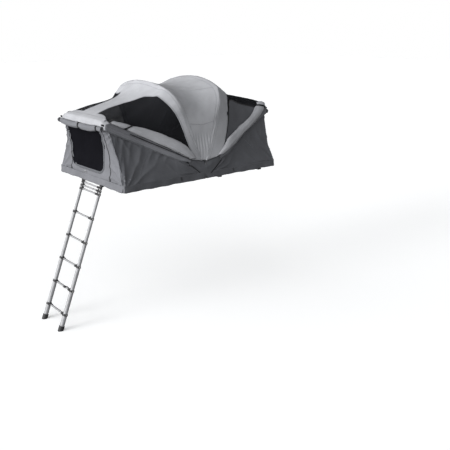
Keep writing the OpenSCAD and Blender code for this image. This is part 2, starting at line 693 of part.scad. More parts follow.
// First row whose arch point lies within the roof strip
function strip_first(rows) = min([for (j = [0:len(rows) - 1]) if (rows[j][0][1] > -strip_half) j]);
module side_patch(rows, first, last, shares, depth, t)
  patch([for (j = [first:last]) [for (v = shares) span(rows, j, v)]], depth, t);
band_cols = 5;
strip_cols = 8;
strip_start = band_share + seam_share;
band_shares = [for (c = [0:band_cols]) lerp(0.002, band_share, pow(c / band_cols, 1.6))];
strip_shares = [for (c = [0:strip_cols]) lerp(strip_start, 1, c / strip_cols)];
window_lap = [band_shares[band_cols - 1], band_share];
window_shares = concat(window_lap, [for (v = strip_shares) min(v, 0.96)]);
module canopy_side(a, b) {
  rows = side_rows(a, b);
  n = len(rows) - 1;
  s = strip_first(rows);
  side_patch(rows, 0, n, band_shares, 0, cloth);
  side_patch(rows, s, n - s, strip_shares, 0, cloth);
}
module windows_side(a, b) {
  rows = side_rows(a, b);
  n = len(rows) - 1;
  s = strip_first(rows);
  mesh = 2;
  side_patch(rows, 0, s + 1, window_shares, cloth + mesh_gap, mesh);
  side_patch(rows, n - s - 1, n, window_shares, cloth + mesh_gap, mesh);
}
module canopy_middle() {
  off = arch_d / 2 + cloth_gap + cloth;
  left = whole(arch_line(1, off));
  right = whole(arch_line(0, off));
  cols = 8;
  function mid(j, v) =
    let (a = in_plane(left[j], 90 + arch_tilt), b = in_plane(right[j], 90 - arch_tilt), p = lerp(a, b, v),
      high = smooth((p[2] - hinge_h - 500) / 500), hub = [0, 0, hinge_h + 300])
    p - 4 * v * (1 - v) * lerp(6, saddle_sag, high) * unit(p - hub);
  patch([for (j = [0:len(left) - 1]) [for (c = [0:cols]) mid(j, lerp(0.002, 0.998, c / cols))]], 0, cloth);
}

// Walls: from the hem along the base up to the bow's leg, the corner and the roof's end edge
side_cols = 9;
end_cols = 10;
function hem_half() = concat(
  [for (j = [0:side_cols]) [lerp(12, skin_x - corner_r, j / side_cols), skin_y]],
  [for (a = [60, 30, 0]) [skin_x - corner_r, skin_y - corner_r] + corner_r * out_dir(a)],
  [for (j = [1:end_cols / 2]) [skin_x, lerp(skin_y - corner_r, 0, 2 * j / end_cols)]]);
function rim_half(i) =
  let (edge_y = leg_point(i, edge_at)[0], knee_x = knee_at * cos(bow_tilt), legs = side_cols - 2)
  concat(
    [[12, skin_y + 3, 9], [lerp(12, knee_x, 0.5), skin_y + 2, lerp(9, knee_z, 0.5)]],
    [for (j = [0:legs]) bow_skin(leg_point(i, lerp(knee_at, edge_at - 50, j / legs)), -1)],
    [for (j = [1:3]) bow_skin([edge_y - 12 * j, edge_at - 50 + 12 * j], -1)],
    [for (j = [1:end_cols / 2]) bow_skin([lerp(edge_y - 36, 0, 2 * j / end_cols), edge_at - 14], -1)]);
function wall_point(hem, rim, w) =
  let (foot = [hem[0], hem[1], 0], sewn = [hem[0], hem[1], min(skirt_h, rim[2] * 0.5)],
    t = clamp01((w - 0.2) / 0.8), up = lerp(sewn, rim, t), hollow = 4 * t * (1 - t) * wall_hollow,
    pull = smooth((hem[0] - 700) / 500))
  w < 0.2 ? lerp(foot, sewn, w / 0.2) : up - hollow * pull * [hem[0] > skin_x - 1 ? 1 : 0.4, 0.5, 0];
function mirror_rows(half) = concat(
  [for (r = half) [for (p = r) [p[0], -p[1], p[2]]]], [for (j = [len(half) - 2:-1:0]) half[j]]);
function wall_grid(i) =
  let (hem = hem_half(), rim = rim_half(i))
  mirror_rows([for (j = [0:len(hem) - 1])
    [for (w = [1, 0.8, 0.6, 0.4, 0.2, 0]) wall_point(hem[j], rim[j], w)]]);
door_z = skirt_h + 70;
door_r = 80;
module door_outline(grow) translate([door_shift, door_z + door_h / 2]) polygon([
  for (c = [[1, 1], [-1, 1], [-1, -1], [1, -1]]) each
    [for (j = [0:3]) [c[0] * (door_w / 2 + grow - door_r), c[1] * (door_h / 2 + grow - door_r)]
      + door_r * out_dir(atan2(c[1], c[0]) - 45 + 30 * j)]]);
module door_prism(grow) translate([skin_x - 200, 0, 0]) rotate([90, 0, 90])
  linear_extrude(400) door_outline(grow);
// A bead sewn to the wall lies in the frame's track
module wall_bead() {
  bead_in = track_d - 2;
  from = hinge_plate_len + 20;
  translate([0, 0, track_z + seat]) {
    both_sides() translate([from, half_w - bead_in, 0])
      cube([panel_end - from - 2 * track_d, skin_y - half_w + bead_in + cloth / 2, track_h - 2 * seat]);
    translate([panel_end - bead_in, -half_w + 2 * track_d, 0])
      cube([skin_x - panel_end + bead_in + cloth / 2, panel_w - 4 * track_d, track_h - 2 * seat]);
  }
}
module walls_side(i) {
  difference() {
    patch(wall_grid(i), 0, cloth);
    door_prism(0);
  }
  wall_bead();
}
module door_mesh(i) intersection() {
  patch(wall_grid(i), cloth + seat, 2);
  door_prism(15);
}

// Rolled flaps: a tapered roll along each bow leg and one under the roof's end edge
function ring_pts(c, u, v, a, b) = [for (k = [0:11]) c + a * cos(30 * k) * u + b * sin(30 * k) * v];
module roll(rings) {
  n = len(rings);
  faces = concat(
    [for (i = [0:n - 2]) for (k = [0:11]) each let (k2 = (k + 1) % 12) [
      [i * 12 + k, (i + 1) * 12 + k, (i + 1) * 12 + k2], [i * 12 + k, (i + 1) * 12 + k2, i * 12 + k2]]],
    [[for (k = [0:11]) k]], [[for (k = [11:-1:0]) (n - 1) * 12 + k]]);
  polyhedron(points = [for (r = rings) for (p = r) p], faces = faces);
}
roll_drop = 14;
tip_clear = 7.6;
function roll_stand(i) = i == 3 ? 8.4 : 6.4;
module flap_roll(i, side) {
  steps = 10;
  dir = [cos(bow_tilt) * cos(bow_leg_lean), -sin(bow_leg_lean), sin(bow_tilt) * cos(bow_leg_lean)];
  out = [0, 1, 0];
  lift = unit(cross(dir, out));
  rings = [for (j = [0:steps])
    let (t = j / steps, p = leg_point(i, lerp(knee_at + 60, edge_at - 60, t)),
      fat = flap_roll_d / 2 * (0.45 + 0.55 * pow(sin(180 * lerp(0.06, 0.94, t)), 0.5)))
    ring_pts(bow_skin(p, 0) + (fat * 0.7 + cloth + roll_stand(i)) * out - lift * roll_drop,
      out, lift, fat * 0.7, fat)];
  mirror([0, side < 0 ? 1 : 0, 0]) roll(rings);
}
module door_roll(i) {
  steps = 8;
  edge_y = leg_point(i, edge_at)[0] + 10;
  fat = door_roll_d / 2;
  base = in_plane([0, edge_at], bow_tilt) + [fat + tip_clear, 0, -fat * 0.6];
  roll([for (j = [0:steps])
    let (t = j / steps, y = lerp(-edge_y, edge_y, t), s = fat * (0.8 + 0.2 * sin(180 * t)))
    ring_pts(base + [0, y, 0], [0, 0, 1], [1, 0, 0], s, s)]);
}
module flaps_side(i) {
  for (s = [-1, 1]) flap_roll(i, s);
  door_roll(i);
}

// Valley walls: the dark cloth between the bows' legs over the hinge, on both sides
function valley_half(a, b) =
  let (off = arch_d / 2 + cloth_gap + cloth, foot = in_plane(arch_line(a, off)[0], 90 - arch_tilt),
    knee = bow_skin(leg_point(b, knee_at), 1))
  [for (t = [0, 0.25, 0.5, 0.75, 1])
    let (high = lerp(foot, knee, t), low = lerp([0, skin_y + 3, 14], knee - [0, 0, 8], t))
    [high - [0, 0, seam_drop], low]];
function valley_drop(r, t) =
  let (p = lerp(r[1], r[0], t), side = lerp(r[1], r[0], smooth((t - 0.6) / 0.4)))
  [p[0], side[1], p[2]];
module valley_walls() color("dimgray") at_tent() both_sides() {
  right = valley_half(0, 2);
  left = valley_half(1, 3);
  rows = concat([for (j = [4:-1:0]) [for (p = left[j]) [-p[0], p[1], p[2]]]], right);
  patch([for (r = rows) [for (t = [0, 0.3, 0.6, 0.8, 1]) valley_drop(r, t)]], 0, cloth);
}

module canopy_centre() color("darkgray") at_tent() canopy_middle();
module canopy_left() color("darkgray") at_tent() fold_side() canopy_side(1, 3);
module canopy_right() color("darkgray") at_tent() canopy_side(0, 2);
module windows_left() color("black") at_tent() fold_side() {
  windows_side(1, 3);
  door_mesh(3);
}
module windows_right() color("black") at_tent() {
  windows_side(0, 2);
  door_mesh(2);
}
module walls_left() color("dimgray") at_tent() fold_side() walls_side(3);
module walls_right() color("dimgray") at_tent() walls_side(2);
module flaps_left() color("darkgray") at_tent() fold_side() flaps_side(3);
module flaps_right() color("darkgray") at_tent() flaps_side(2);

fixed_panel();
fixed_frame();
mounting_rails();
rail_caps();
rail_bolts();
hinge_plates_fixed();
hinge_pins();
mattress_fixed();
color("dimgray") clamp(-1, -1);  // clamp_1
color("dimgray") clamp(-1, 1);  // clamp_2
color("dimgray") clamp(1, -1);  // clamp_3
color("dimgray") clamp(1, 1);  // clamp_4
fold_panel();
fold_frame();
hinge_plates_fold();
mattress_fold();
ladder_brackets();
bow(2, bow_tilt);  // right_bow
arch(0, 90 - arch_tilt);  // right_arch
arch(1, 90 + arch_tilt);  // left_arch
bow(3, 180 - bow_tilt);  // left_bow
pole(2, bow_tilt, -1);  // pole_right_near
pole(2, bow_tilt, 1);  // pole_right_far
pole(3, 180 - bow_tilt, -1);  // pole_left_near
pole(3, 180 - bow_tilt, 1);  // pole_left_far
for (k = [1:rungs]) ladder_section(k);
for (k = [1:rungs]) ladder_collars(k);
for (k = [1:rungs - 1]) ladder_latches(k);
ladder_feet();
ladder_strap();
canopy_centre();
canopy_left();
canopy_right();
windows_left();
windows_right();
walls_left();
walls_right();
flaps_left();
flaps_right();
valley_walls();
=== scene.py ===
# %% [markdown]
# # A roof top tent
# The tent folds out from a base that is clamped to two load bars. Two light arches
# and two end bows turn on one pair of pins and carry the canopy. The packed
# model holds every rigid piece, so this lesson dresses it: the cloth becomes thin
# sewn sheets, and each rigid piece gets a finish with grain, wear and stitching.

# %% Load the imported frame
import json
import math

import bmesh
import bpy
import numpy as np
from mathutils import Vector, noise
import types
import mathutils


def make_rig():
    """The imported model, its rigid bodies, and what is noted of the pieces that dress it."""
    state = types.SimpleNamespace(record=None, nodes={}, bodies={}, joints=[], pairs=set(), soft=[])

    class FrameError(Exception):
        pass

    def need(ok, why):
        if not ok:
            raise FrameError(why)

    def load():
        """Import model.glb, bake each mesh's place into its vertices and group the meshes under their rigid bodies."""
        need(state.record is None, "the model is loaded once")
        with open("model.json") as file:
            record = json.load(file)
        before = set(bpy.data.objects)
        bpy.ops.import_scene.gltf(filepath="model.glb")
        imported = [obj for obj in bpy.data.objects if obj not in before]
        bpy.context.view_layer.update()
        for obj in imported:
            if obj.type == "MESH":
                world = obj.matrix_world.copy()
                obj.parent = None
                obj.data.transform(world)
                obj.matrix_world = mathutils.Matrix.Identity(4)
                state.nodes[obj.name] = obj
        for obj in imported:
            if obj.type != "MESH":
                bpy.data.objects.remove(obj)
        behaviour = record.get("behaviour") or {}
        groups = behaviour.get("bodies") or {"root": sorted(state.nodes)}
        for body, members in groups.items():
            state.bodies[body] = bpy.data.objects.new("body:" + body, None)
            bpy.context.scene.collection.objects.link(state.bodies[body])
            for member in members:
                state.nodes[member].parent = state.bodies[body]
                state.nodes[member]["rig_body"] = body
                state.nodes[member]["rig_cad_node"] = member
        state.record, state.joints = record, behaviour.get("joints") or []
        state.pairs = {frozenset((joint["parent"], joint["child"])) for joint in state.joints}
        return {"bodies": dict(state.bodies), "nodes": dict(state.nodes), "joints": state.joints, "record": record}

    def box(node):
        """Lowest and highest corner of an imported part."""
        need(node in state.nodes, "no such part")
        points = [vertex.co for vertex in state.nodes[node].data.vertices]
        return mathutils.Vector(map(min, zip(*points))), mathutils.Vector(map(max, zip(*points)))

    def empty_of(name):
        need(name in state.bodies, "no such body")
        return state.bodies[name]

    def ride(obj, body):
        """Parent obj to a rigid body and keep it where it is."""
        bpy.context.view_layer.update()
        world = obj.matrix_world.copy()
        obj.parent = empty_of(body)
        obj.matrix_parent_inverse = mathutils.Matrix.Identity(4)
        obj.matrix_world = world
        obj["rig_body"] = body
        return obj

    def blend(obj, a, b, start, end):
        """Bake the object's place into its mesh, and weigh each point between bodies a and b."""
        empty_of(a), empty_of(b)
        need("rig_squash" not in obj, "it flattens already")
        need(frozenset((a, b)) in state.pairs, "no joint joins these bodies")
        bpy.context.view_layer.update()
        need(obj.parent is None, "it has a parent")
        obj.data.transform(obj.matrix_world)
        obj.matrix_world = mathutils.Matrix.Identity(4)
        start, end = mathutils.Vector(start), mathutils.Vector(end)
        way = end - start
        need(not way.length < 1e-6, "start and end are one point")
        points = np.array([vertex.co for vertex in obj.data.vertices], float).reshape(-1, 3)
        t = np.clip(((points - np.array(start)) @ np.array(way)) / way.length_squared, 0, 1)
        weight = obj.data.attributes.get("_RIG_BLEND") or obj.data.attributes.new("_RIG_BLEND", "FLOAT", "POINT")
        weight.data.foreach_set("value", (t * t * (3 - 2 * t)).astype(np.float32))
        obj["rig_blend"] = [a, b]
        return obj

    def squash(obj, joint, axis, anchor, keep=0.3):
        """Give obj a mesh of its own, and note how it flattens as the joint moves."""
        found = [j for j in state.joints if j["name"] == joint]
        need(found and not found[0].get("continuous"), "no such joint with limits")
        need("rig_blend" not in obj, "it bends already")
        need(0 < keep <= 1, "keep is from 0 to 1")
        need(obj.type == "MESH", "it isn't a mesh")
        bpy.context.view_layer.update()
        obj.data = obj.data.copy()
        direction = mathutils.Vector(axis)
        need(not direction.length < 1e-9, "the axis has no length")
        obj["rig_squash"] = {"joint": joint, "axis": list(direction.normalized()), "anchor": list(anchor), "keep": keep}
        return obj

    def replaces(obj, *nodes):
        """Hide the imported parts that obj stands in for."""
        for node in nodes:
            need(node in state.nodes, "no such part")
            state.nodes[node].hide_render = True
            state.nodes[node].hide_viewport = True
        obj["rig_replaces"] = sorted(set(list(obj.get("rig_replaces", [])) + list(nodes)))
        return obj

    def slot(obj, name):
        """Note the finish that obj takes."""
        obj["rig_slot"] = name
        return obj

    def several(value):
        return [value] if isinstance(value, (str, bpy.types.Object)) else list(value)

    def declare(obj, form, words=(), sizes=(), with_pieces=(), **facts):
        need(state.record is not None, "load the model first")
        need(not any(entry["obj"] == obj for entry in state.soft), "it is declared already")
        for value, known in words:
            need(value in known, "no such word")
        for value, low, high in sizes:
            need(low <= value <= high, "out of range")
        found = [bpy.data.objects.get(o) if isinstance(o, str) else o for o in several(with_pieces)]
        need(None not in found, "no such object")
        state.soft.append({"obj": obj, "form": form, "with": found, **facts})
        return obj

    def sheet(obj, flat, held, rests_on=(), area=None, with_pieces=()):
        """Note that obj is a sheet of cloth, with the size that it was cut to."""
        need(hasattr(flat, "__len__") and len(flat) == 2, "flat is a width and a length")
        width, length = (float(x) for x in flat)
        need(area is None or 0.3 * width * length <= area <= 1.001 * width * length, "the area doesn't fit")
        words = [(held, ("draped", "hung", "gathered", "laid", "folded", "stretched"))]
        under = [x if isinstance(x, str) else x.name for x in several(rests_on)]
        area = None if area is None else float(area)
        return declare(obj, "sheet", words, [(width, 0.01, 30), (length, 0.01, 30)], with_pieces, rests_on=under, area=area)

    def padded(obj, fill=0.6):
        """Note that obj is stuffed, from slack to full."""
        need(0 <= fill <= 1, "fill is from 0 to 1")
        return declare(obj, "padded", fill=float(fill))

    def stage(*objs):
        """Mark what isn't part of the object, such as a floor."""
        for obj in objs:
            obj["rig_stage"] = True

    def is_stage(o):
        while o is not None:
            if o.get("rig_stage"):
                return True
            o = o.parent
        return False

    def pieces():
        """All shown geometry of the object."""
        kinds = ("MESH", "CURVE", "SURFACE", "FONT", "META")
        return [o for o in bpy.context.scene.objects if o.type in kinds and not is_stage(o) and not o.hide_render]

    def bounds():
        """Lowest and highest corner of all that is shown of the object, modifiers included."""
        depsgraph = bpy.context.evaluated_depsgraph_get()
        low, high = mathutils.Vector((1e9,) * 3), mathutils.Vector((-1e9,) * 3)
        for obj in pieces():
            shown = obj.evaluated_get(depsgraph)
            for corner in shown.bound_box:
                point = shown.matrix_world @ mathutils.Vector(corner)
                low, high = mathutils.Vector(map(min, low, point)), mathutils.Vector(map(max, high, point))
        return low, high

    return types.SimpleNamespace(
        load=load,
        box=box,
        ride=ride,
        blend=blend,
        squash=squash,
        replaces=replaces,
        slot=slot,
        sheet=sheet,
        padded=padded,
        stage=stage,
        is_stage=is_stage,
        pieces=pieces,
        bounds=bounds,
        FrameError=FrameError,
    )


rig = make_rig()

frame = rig.load()
cad_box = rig.bounds()
nodes = frame["nodes"]
print(len(nodes), "rigid and soft nodes, box", cad_box)

# %% [markdown]
# The sizes below repeat the ones that shape the cloth in the part's source, in
# millimetres. The tent frame has X = 0 on the hinge line and Z = 0 under the
# panels, and `to_row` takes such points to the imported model's frame in metres.

# %% Sizes that shape the cloth
HINGE_X, RAIL_H = -600.5, 32.0
HALF_W, HINGE_H = 775.0, 130.0
LANE, FOOT_W, SOCKET_H, BEND_R = 21.0, 20.4, 78.0, 150.0
ARCH_RISE, ARCH_TILT, CROWN_R, SHOULDER_R = 1143.0, 21.0, 1600.0, 300.0
ARCH_LEAN, BOW_LEAN, BOW_TILT = 5.5, 8.0, 26.0
ARCH_FOOT, CANOPY_KNEE, KNEE_AT, EDGE_AT = 95.0, 250.0, 330.0, 1415.0
KNEE_Z, SKIRT_H, SKIN_Y, SKIN_X, CORNER_R = 245.0, 75.0, 795.0, 1211.0, 25.0
ROOF_SAG, WINDOW_SAG, FAR_SAG = 82.0, 80.0, 185.0
WINDOW_IN, SADDLE_SAG, WALL_HOLLOW = 60.0, 85.0, 45.0


def to_row(points):
    """Tent-frame millimetres to row-frame metres."""
    return (np.asarray(points, float) + (HINGE_X, 0, RAIL_H)) / 1000


def smooth(t):
    t = np.clip(t, 0, 1)
    return t * t * (3 - 2 * t)


def mix(a, b, t):
    return a + (b - a) * t


def out_dir(a):
    a = np.radians(a)
    return np.stack([np.cos(a), np.sin(a)], -1)


def unit(p):
    return p / np.linalg.norm(p, axis=1)[:, None]


def pace(points):
    """Distance along a line at each of its points."""
    return np.concatenate([[0], np.cumsum(np.linalg.norm(np.diff(points, axis=0), axis=1))])


def at_index(points, k):
    """Places on a line, counted along its points."""
    return np.stack([np.interp(k, np.arange(len(points)), c) for c in points.T], -1)


print("arches lean", ARCH_TILT, "degrees and the bows stand at", BOW_TILT)

# %% [markdown]
# Each hoop lies in a plane through the hinge pins. A point in that plane has two
# numbers: how far it is across the tent, and how far it is from the pins. An arch
# is a straight leg, a tight shoulder and a shallow crown. A bow is a straight leg
# that goes on as a tension pole to the corner of the roof.

# %% Outlines of the arches and bows
LEG_ROWS, SHOULDER_ROWS, CROWN_ROWS, LAST_ROW = 6, 7, 6, 38.0
CORNER_BEND, STAND_OFF, LEG_BULGE = 60.0, 12.2, 85


def from_foot(rows):
    """Rows counted from the nearer of the two feet."""
    return np.minimum(rows, LAST_ROW - rows)


def to_side(rows):
    """Minus one on the near side of the tent, and one on the far side."""
    return np.where(rows <= LAST_ROW / 2, -1, 1)


def lane_y(i):
    return HALF_W - 1 - FOOT_W / 2 - i * LANE


def leg_start(i, lean):
    a = math.radians(lean)
    return np.array([lane_y(i) - BEND_R * (1 - math.cos(a)), SOCKET_H + BEND_R * math.sin(a)])


def leg_dir(lean):
    a = math.radians(lean)
    return np.array([-math.sin(a), math.cos(a)])


def arch_parts(i):
    """Leg length, shoulder centre, crown centre and the angle where they meet."""
    inset = i * LANE
    crown = np.array([0, ARCH_RISE - CROWN_R])
    base = leg_start(i, ARCH_LEAN) - (SHOULDER_R - inset) * out_dir(ARCH_LEAN) - crown
    along = base @ leg_dir(ARCH_LEAN)
    reach = CROWN_R - SHOULDER_R
    leg = math.sqrt(along * along - base @ base + reach * reach) - along
    shoulder = base + crown + leg * leg_dir(ARCH_LEAN)
    d = shoulder - crown
    return leg, shoulder, crown, math.degrees(math.atan2(d[1], d[0]))


def arch_line(i, off, rows):
    """Points over arch i at rows 0 to 38, from the near foot over the crown."""
    leg, shoulder, crown, turn = arch_parts(i)
    inset = i * LANE
    j = from_foot(rows)
    e = leg_start(i, ARCH_LEAN) + off * out_dir(ARCH_LEAN)
    first = (ARCH_FOOT - e[1]) / math.cos(math.radians(ARCH_LEAN))
    on_leg = e + mix(first, leg, j / LEG_ROWS)[:, None] * leg_dir(ARCH_LEAN)
    bend = mix(ARCH_LEAN, turn, (j - LEG_ROWS) / SHOULDER_ROWS)
    on_bend = shoulder + (SHOULDER_R - inset + off) * out_dir(bend)
    arc = mix(turn, 90, (j - LEG_ROWS - SHOULDER_ROWS) / CROWN_ROWS)
    on_crown = crown + (CROWN_R - inset + off) * out_dir(arc)
    pick = j[:, None]
    p = np.where(pick < LEG_ROWS, on_leg, np.where(pick < LEG_ROWS + SHOULDER_ROWS, on_bend, on_crown))
    p[:, 0] *= to_side(rows)
    return p


def leg_point(i, reach):
    """Points on the middle of bow leg i at a distance from the pins."""
    s = leg_start(i, BOW_LEAN)
    reach = np.asarray(reach, float)
    return s + ((reach - s[1]) / math.cos(math.radians(BOW_LEAN)))[..., None] * leg_dir(BOW_LEAN)


def bow_line(i, rows):
    """Points along the bow leg, round the roof's corner and along its end edge."""
    j = from_foot(rows)
    bend = CORNER_BEND
    edge_y = leg_point(i, EDGE_AT)[0]
    knots = [0, 11, 11.6, 12, 12.4, 13]
    top = leg_point(i, EDGE_AT - bend)
    corner = [(top[0] - bend * 0.06, EDGE_AT - bend * 0.35),
              (edge_y - bend * 0.36, EDGE_AT - bend * 0.12),
              (edge_y - bend * 0.66, EDGE_AT - bend * 0.03)]
    pts = np.array([leg_point(i, CANOPY_KNEE), top, *corner, (edge_y - bend, EDGE_AT)])
    p = np.stack([np.interp(j, knots, pts[:, 0]), np.interp(j, knots, pts[:, 1])], -1)
    p[:, 0] *= np.clip((19 - j) / 6, 0, 1) ** 1.5
    p[:, 0] *= to_side(rows)
    return p


def in_plane(p, angle):
    a = math.radians(angle)
    return np.stack([p[:, 1] * math.cos(a), p[:, 0], HINGE_H + p[:, 1] * math.sin(a)], -1)


def bow_skin(p, up):
    """Cloth stands off the bow's tube, up and out above it or out and down below."""
    side = np.sign(p[:, 0]) * np.minimum(1, np.abs(p[:, 0]) / 100)
    bulge = LEG_BULGE * (1 - smooth((p[:, 1] - KNEE_AT) / 600))
    a = math.radians(BOW_TILT)
    off = np.stack([np.full(len(p), -up * math.sin(a)), side, np.full(len(p), up * math.cos(a))], -1)
    return in_plane(p, BOW_TILT) + STAND_OFF * off + np.stack([0 * bulge, side * bulge, 0 * bulge], -1)


for lane_no in (0, 1):
    leg_length, _, _, bend_end = arch_parts(lane_no)
    print("arch", lane_no, "leg", round(leg_length), "mm, bend ends at", round(bend_end))

# %% [markdown]
# A sewn sheet starts as a flat grid with a UV map. A shape function moves each of
# its points into place, and the UV map is stretched to the cut size in metres, so
# the weave keeps its real scale. Wrinkles are pushed along the normals.

# %% A sheet of cloth from a flat grid
THREAD = 0.0012
INSIDE = (0, 0, 318)


def new_object(name, bm, smoothed=True):
    """Turns a bmesh into an object of the scene."""
    mesh = bpy.data.meshes.new(name)
    bm.to_mesh(mesh)
    bm.free()
    if smoothed:
        mesh.shade_smooth()
    obj = bpy.data.objects.new(name, mesh)
    bpy.context.scene.collection.objects.link(obj)
    return obj


def shaped_grid(bm, across, along, shape, flat, wrinkle=None, keep=None):
    """Adds a grid of across by along faces, shaped by shape(u, v) in tent millimetres."""
    uv = bm.loops.layers.uv.verify()
    verts = bmesh.ops.create_grid(bm, x_segments=across, y_segments=along, size=0.5)["verts"]
    bm.verts.index_update()
    first = min(v.index for v in verts)
    flatco = np.array([v.co[:2] for v in verts]) + 0.5
    faces = list({f for v in verts for f in v.link_faces})
    for f in faces:
        for loop in f.loops:
            loop[uv].uv = flatco[loop.vert.index - first] * flat
    if keep is not None:
        centres = np.array([np.mean([flatco[v.index - first] for v in f.verts], 0) for f in faces])
        stay = keep(centres[:, 0], centres[:, 1])
    for v, p in zip(verts, to_row(shape(flatco[:, 0], flatco[:, 1]))):
        v.co = p
    bm.normal_update()
    middle = Vector(to_row(INSIDE))
    if sum(f.normal.dot(f.calc_center_median() - middle) for f in faces) < 0:
        bmesh.ops.reverse_faces(bm, faces=faces)
        bm.normal_update()
    if wrinkle is not None:
        lift = wrinkle(np.array([v.co for v in verts]))
        for v, h in zip(verts, lift):
            v.co += v.normal * h
    if keep is not None:
        bmesh.ops.delete(bm, geom=[f for f, k in zip(faces, stay) if not k], context="FACES")


def cloth_object(name, bm, thick=THREAD):
    """Turns the grids into one piece with a thickness."""
    obj = new_object(name, bm)
    skin = obj.modifiers.new("thickness", "SOLIDIFY")
    skin.thickness = thick
    skin.offset = -1
    return obj


def cloth_sheet(name, across, along, shape, flat, wrinkle=None, keep=None):
    bm = bmesh.new()
    shaped_grid(bm, across, along, shape, flat, wrinkle, keep)
    return cloth_object(name, bm)


print("sheets are", THREAD * 1000, "mm thick")

# %% [markdown]
# Seams, zips and bindings are tapes that lie on a sheet. A tape's path is drawn in
# the sheet's own shares u and v, so it follows the shaped and creased cloth.

# %% Tapes on a sheet
TAPE_LIFT, TAPE_THICK = 1.2, 0.0018


def on_cloth(shape, wrinkle, u, v, lift):
    """Points raised off a shaped sheet, and the sheet's outward normals there."""
    e = 2e-4
    p = shape(u, v)
    du = shape(np.clip(u + e, 0, 1), v) - shape(np.clip(u - e, 0, 1), v)
    dv = shape(u, np.clip(v + e, 0, 1)) - shape(u, np.clip(v - e, 0, 1))
    n = unit(np.cross(du, dv))
    n *= np.sign(np.sum(n * (p - INSIDE), 1))[:, None]
    raised = wrinkle(to_row(p)) * 1000 if wrinkle is not None else np.zeros(len(p))
    return p + n * (raised + lift)[:, None], n


def tape_on(shape, wrinkle, path, width, lift):
    """A tape of a given width that lies on a sheet along path(t), which gives u and v."""
    e = 4e-3

    def tape(u, v):
        p, n = on_cloth(shape, wrinkle, *path(u), lift)
        ahead = on_cloth(shape, wrinkle, *path(np.minimum(u + e, 1)), lift)[0]
        behind = on_cloth(shape, wrinkle, *path(np.maximum(u - e, 0)), lift)[0]
        side = unit(np.cross(n, ahead - behind))
        return p + ((v - 0.5) * width)[:, None] * side
    return tape


def through(*corners):
    """A path in u and v through the given corners, at an even pace."""
    pts = np.array(corners, float)
    reach = pace(pts)
    reach /= reach[-1]

    def path(t):
        return np.interp(t, reach, pts[:, 0]), np.interp(t, reach, pts[:, 1])
    return path


def tape(shape, wrinkle, corners, width, lift=TAPE_LIFT):
    """A tape through corners in u and v: its shape and its length."""
    path = through(*corners)
    at = shape(*path(np.linspace(0, 1, 200)))
    return tape_on(shape, wrinkle, path, width, lift), pace(at)[-1]


def trim(name, tapes, finish, slot):
    """Tapes of one finish, sewn on as one piece. Their UV runs in metres along and 0 to 1 across."""
    bm = bmesh.new()
    for shape, length in tapes:
        shaped_grid(bm, max(8, int(length / 9)), 2, shape, (length / 1000, 1.0))
    return dress(cloth_object(name, bm, TAPE_THICK), finish, slot)


def area_of(obj):
    return sum(p.area for p in obj.data.polygons)


def tell(pieces):
    print("area in m2:", [(p.name, round(area_of(p), 3)) for p in pieces])


def cut_sheet(obj, flat, share, held, rests_on, pieces=()):
    """Declares a sheet cut from a flat piece of that size, of which its pattern uses a share."""
    cut = share * flat[0] * flat[1]
    print(obj.name, "is", round(area_of(obj) / cut, 2), "of its pattern's", round(cut, 3), "m2")
    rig.sheet(obj, flat=flat, held=held, rests_on=rests_on, area=cut, with_pieces=list(pieces))


def folds(co, scale, seed):
    """Soft noise from minus one to one at each point."""
    s = Vector((seed * 7.3, seed * 3.1, seed * 5.7))
    return np.array([noise.noise(Vector(c) * scale + s) for c in co])


print("tapes are", TAPE_THICK * 1000, "mm thick and lie", TAPE_LIFT, "mm off the cloth")

# %% [markdown]
# A finish is a small tree of shader nodes. These helpers add a node, feed its inputs
# and give back the output that the next node takes.

# %% Shader nodes
def new_finish(name):
    m = bpy.data.materials.new(name)
    m.use_nodes = True
    nt = m.node_tree
    return m, nt, nt.nodes["Principled BSDF"]


def feed(nt, node, *places, **names):
    """Gives a node's inputs, by place or by name, a value or another node's output."""
    for k, v in [*enumerate(places), *names.items()]:
        socket = node.inputs[k.replace("_", " ") if isinstance(k, str) else k]
        if isinstance(v, bpy.types.NodeSocket):
            nt.links.new(v, socket)
        else:
            socket.default_value = v
    return node


def add(nt, kind, *places, **values):
    """Adds a shader node. Words in small letters are its settings, and the rest feeds its inputs."""
    node = nt.nodes.new("ShaderNode" + kind)
    for k in [k for k in values if k.islower()]:
        setattr(node, k, values.pop(k))
    return feed(nt, node, *places, **values)


def sums(nt, operation, *values):
    return add(nt, "Math", *values, operation=operation).outputs[0]


def blended(nt, share, a, b, **how):
    return add(nt, "Mix", data_type="RGBA", **how, Factor=share, A=a, B=b).outputs["Result"]


def ramp(nt, share, *ends):
    """Blends between two colours, each given with its place."""
    node = add(nt, "ValToRGB", share)
    for e, (place, colour) in zip(node.color_ramp.elements, ends):
        e.position, e.color = place, (*colour, 1)
    return node.outputs["Color"]


def clouds(nt, at, scale, detail, rough=0.5):
    return add(nt, "TexNoise", Vector=at, Scale=scale, Detail=detail, Roughness=rough).outputs["Fac"]


print("helpers:", [f.__name__ for f in (add, feed, sums, blended, ramp, clouds)])

# %% [markdown]
# The canopy is polyester and cotton canvas. Up close it shows a plain weave, and
# further off a soft cloudiness from dust and handling. Threads are two crossed
# waves on the UV map; clouds are noise on the object's coordinates.

# %% Finishes for cloth
WAVE = 0.314


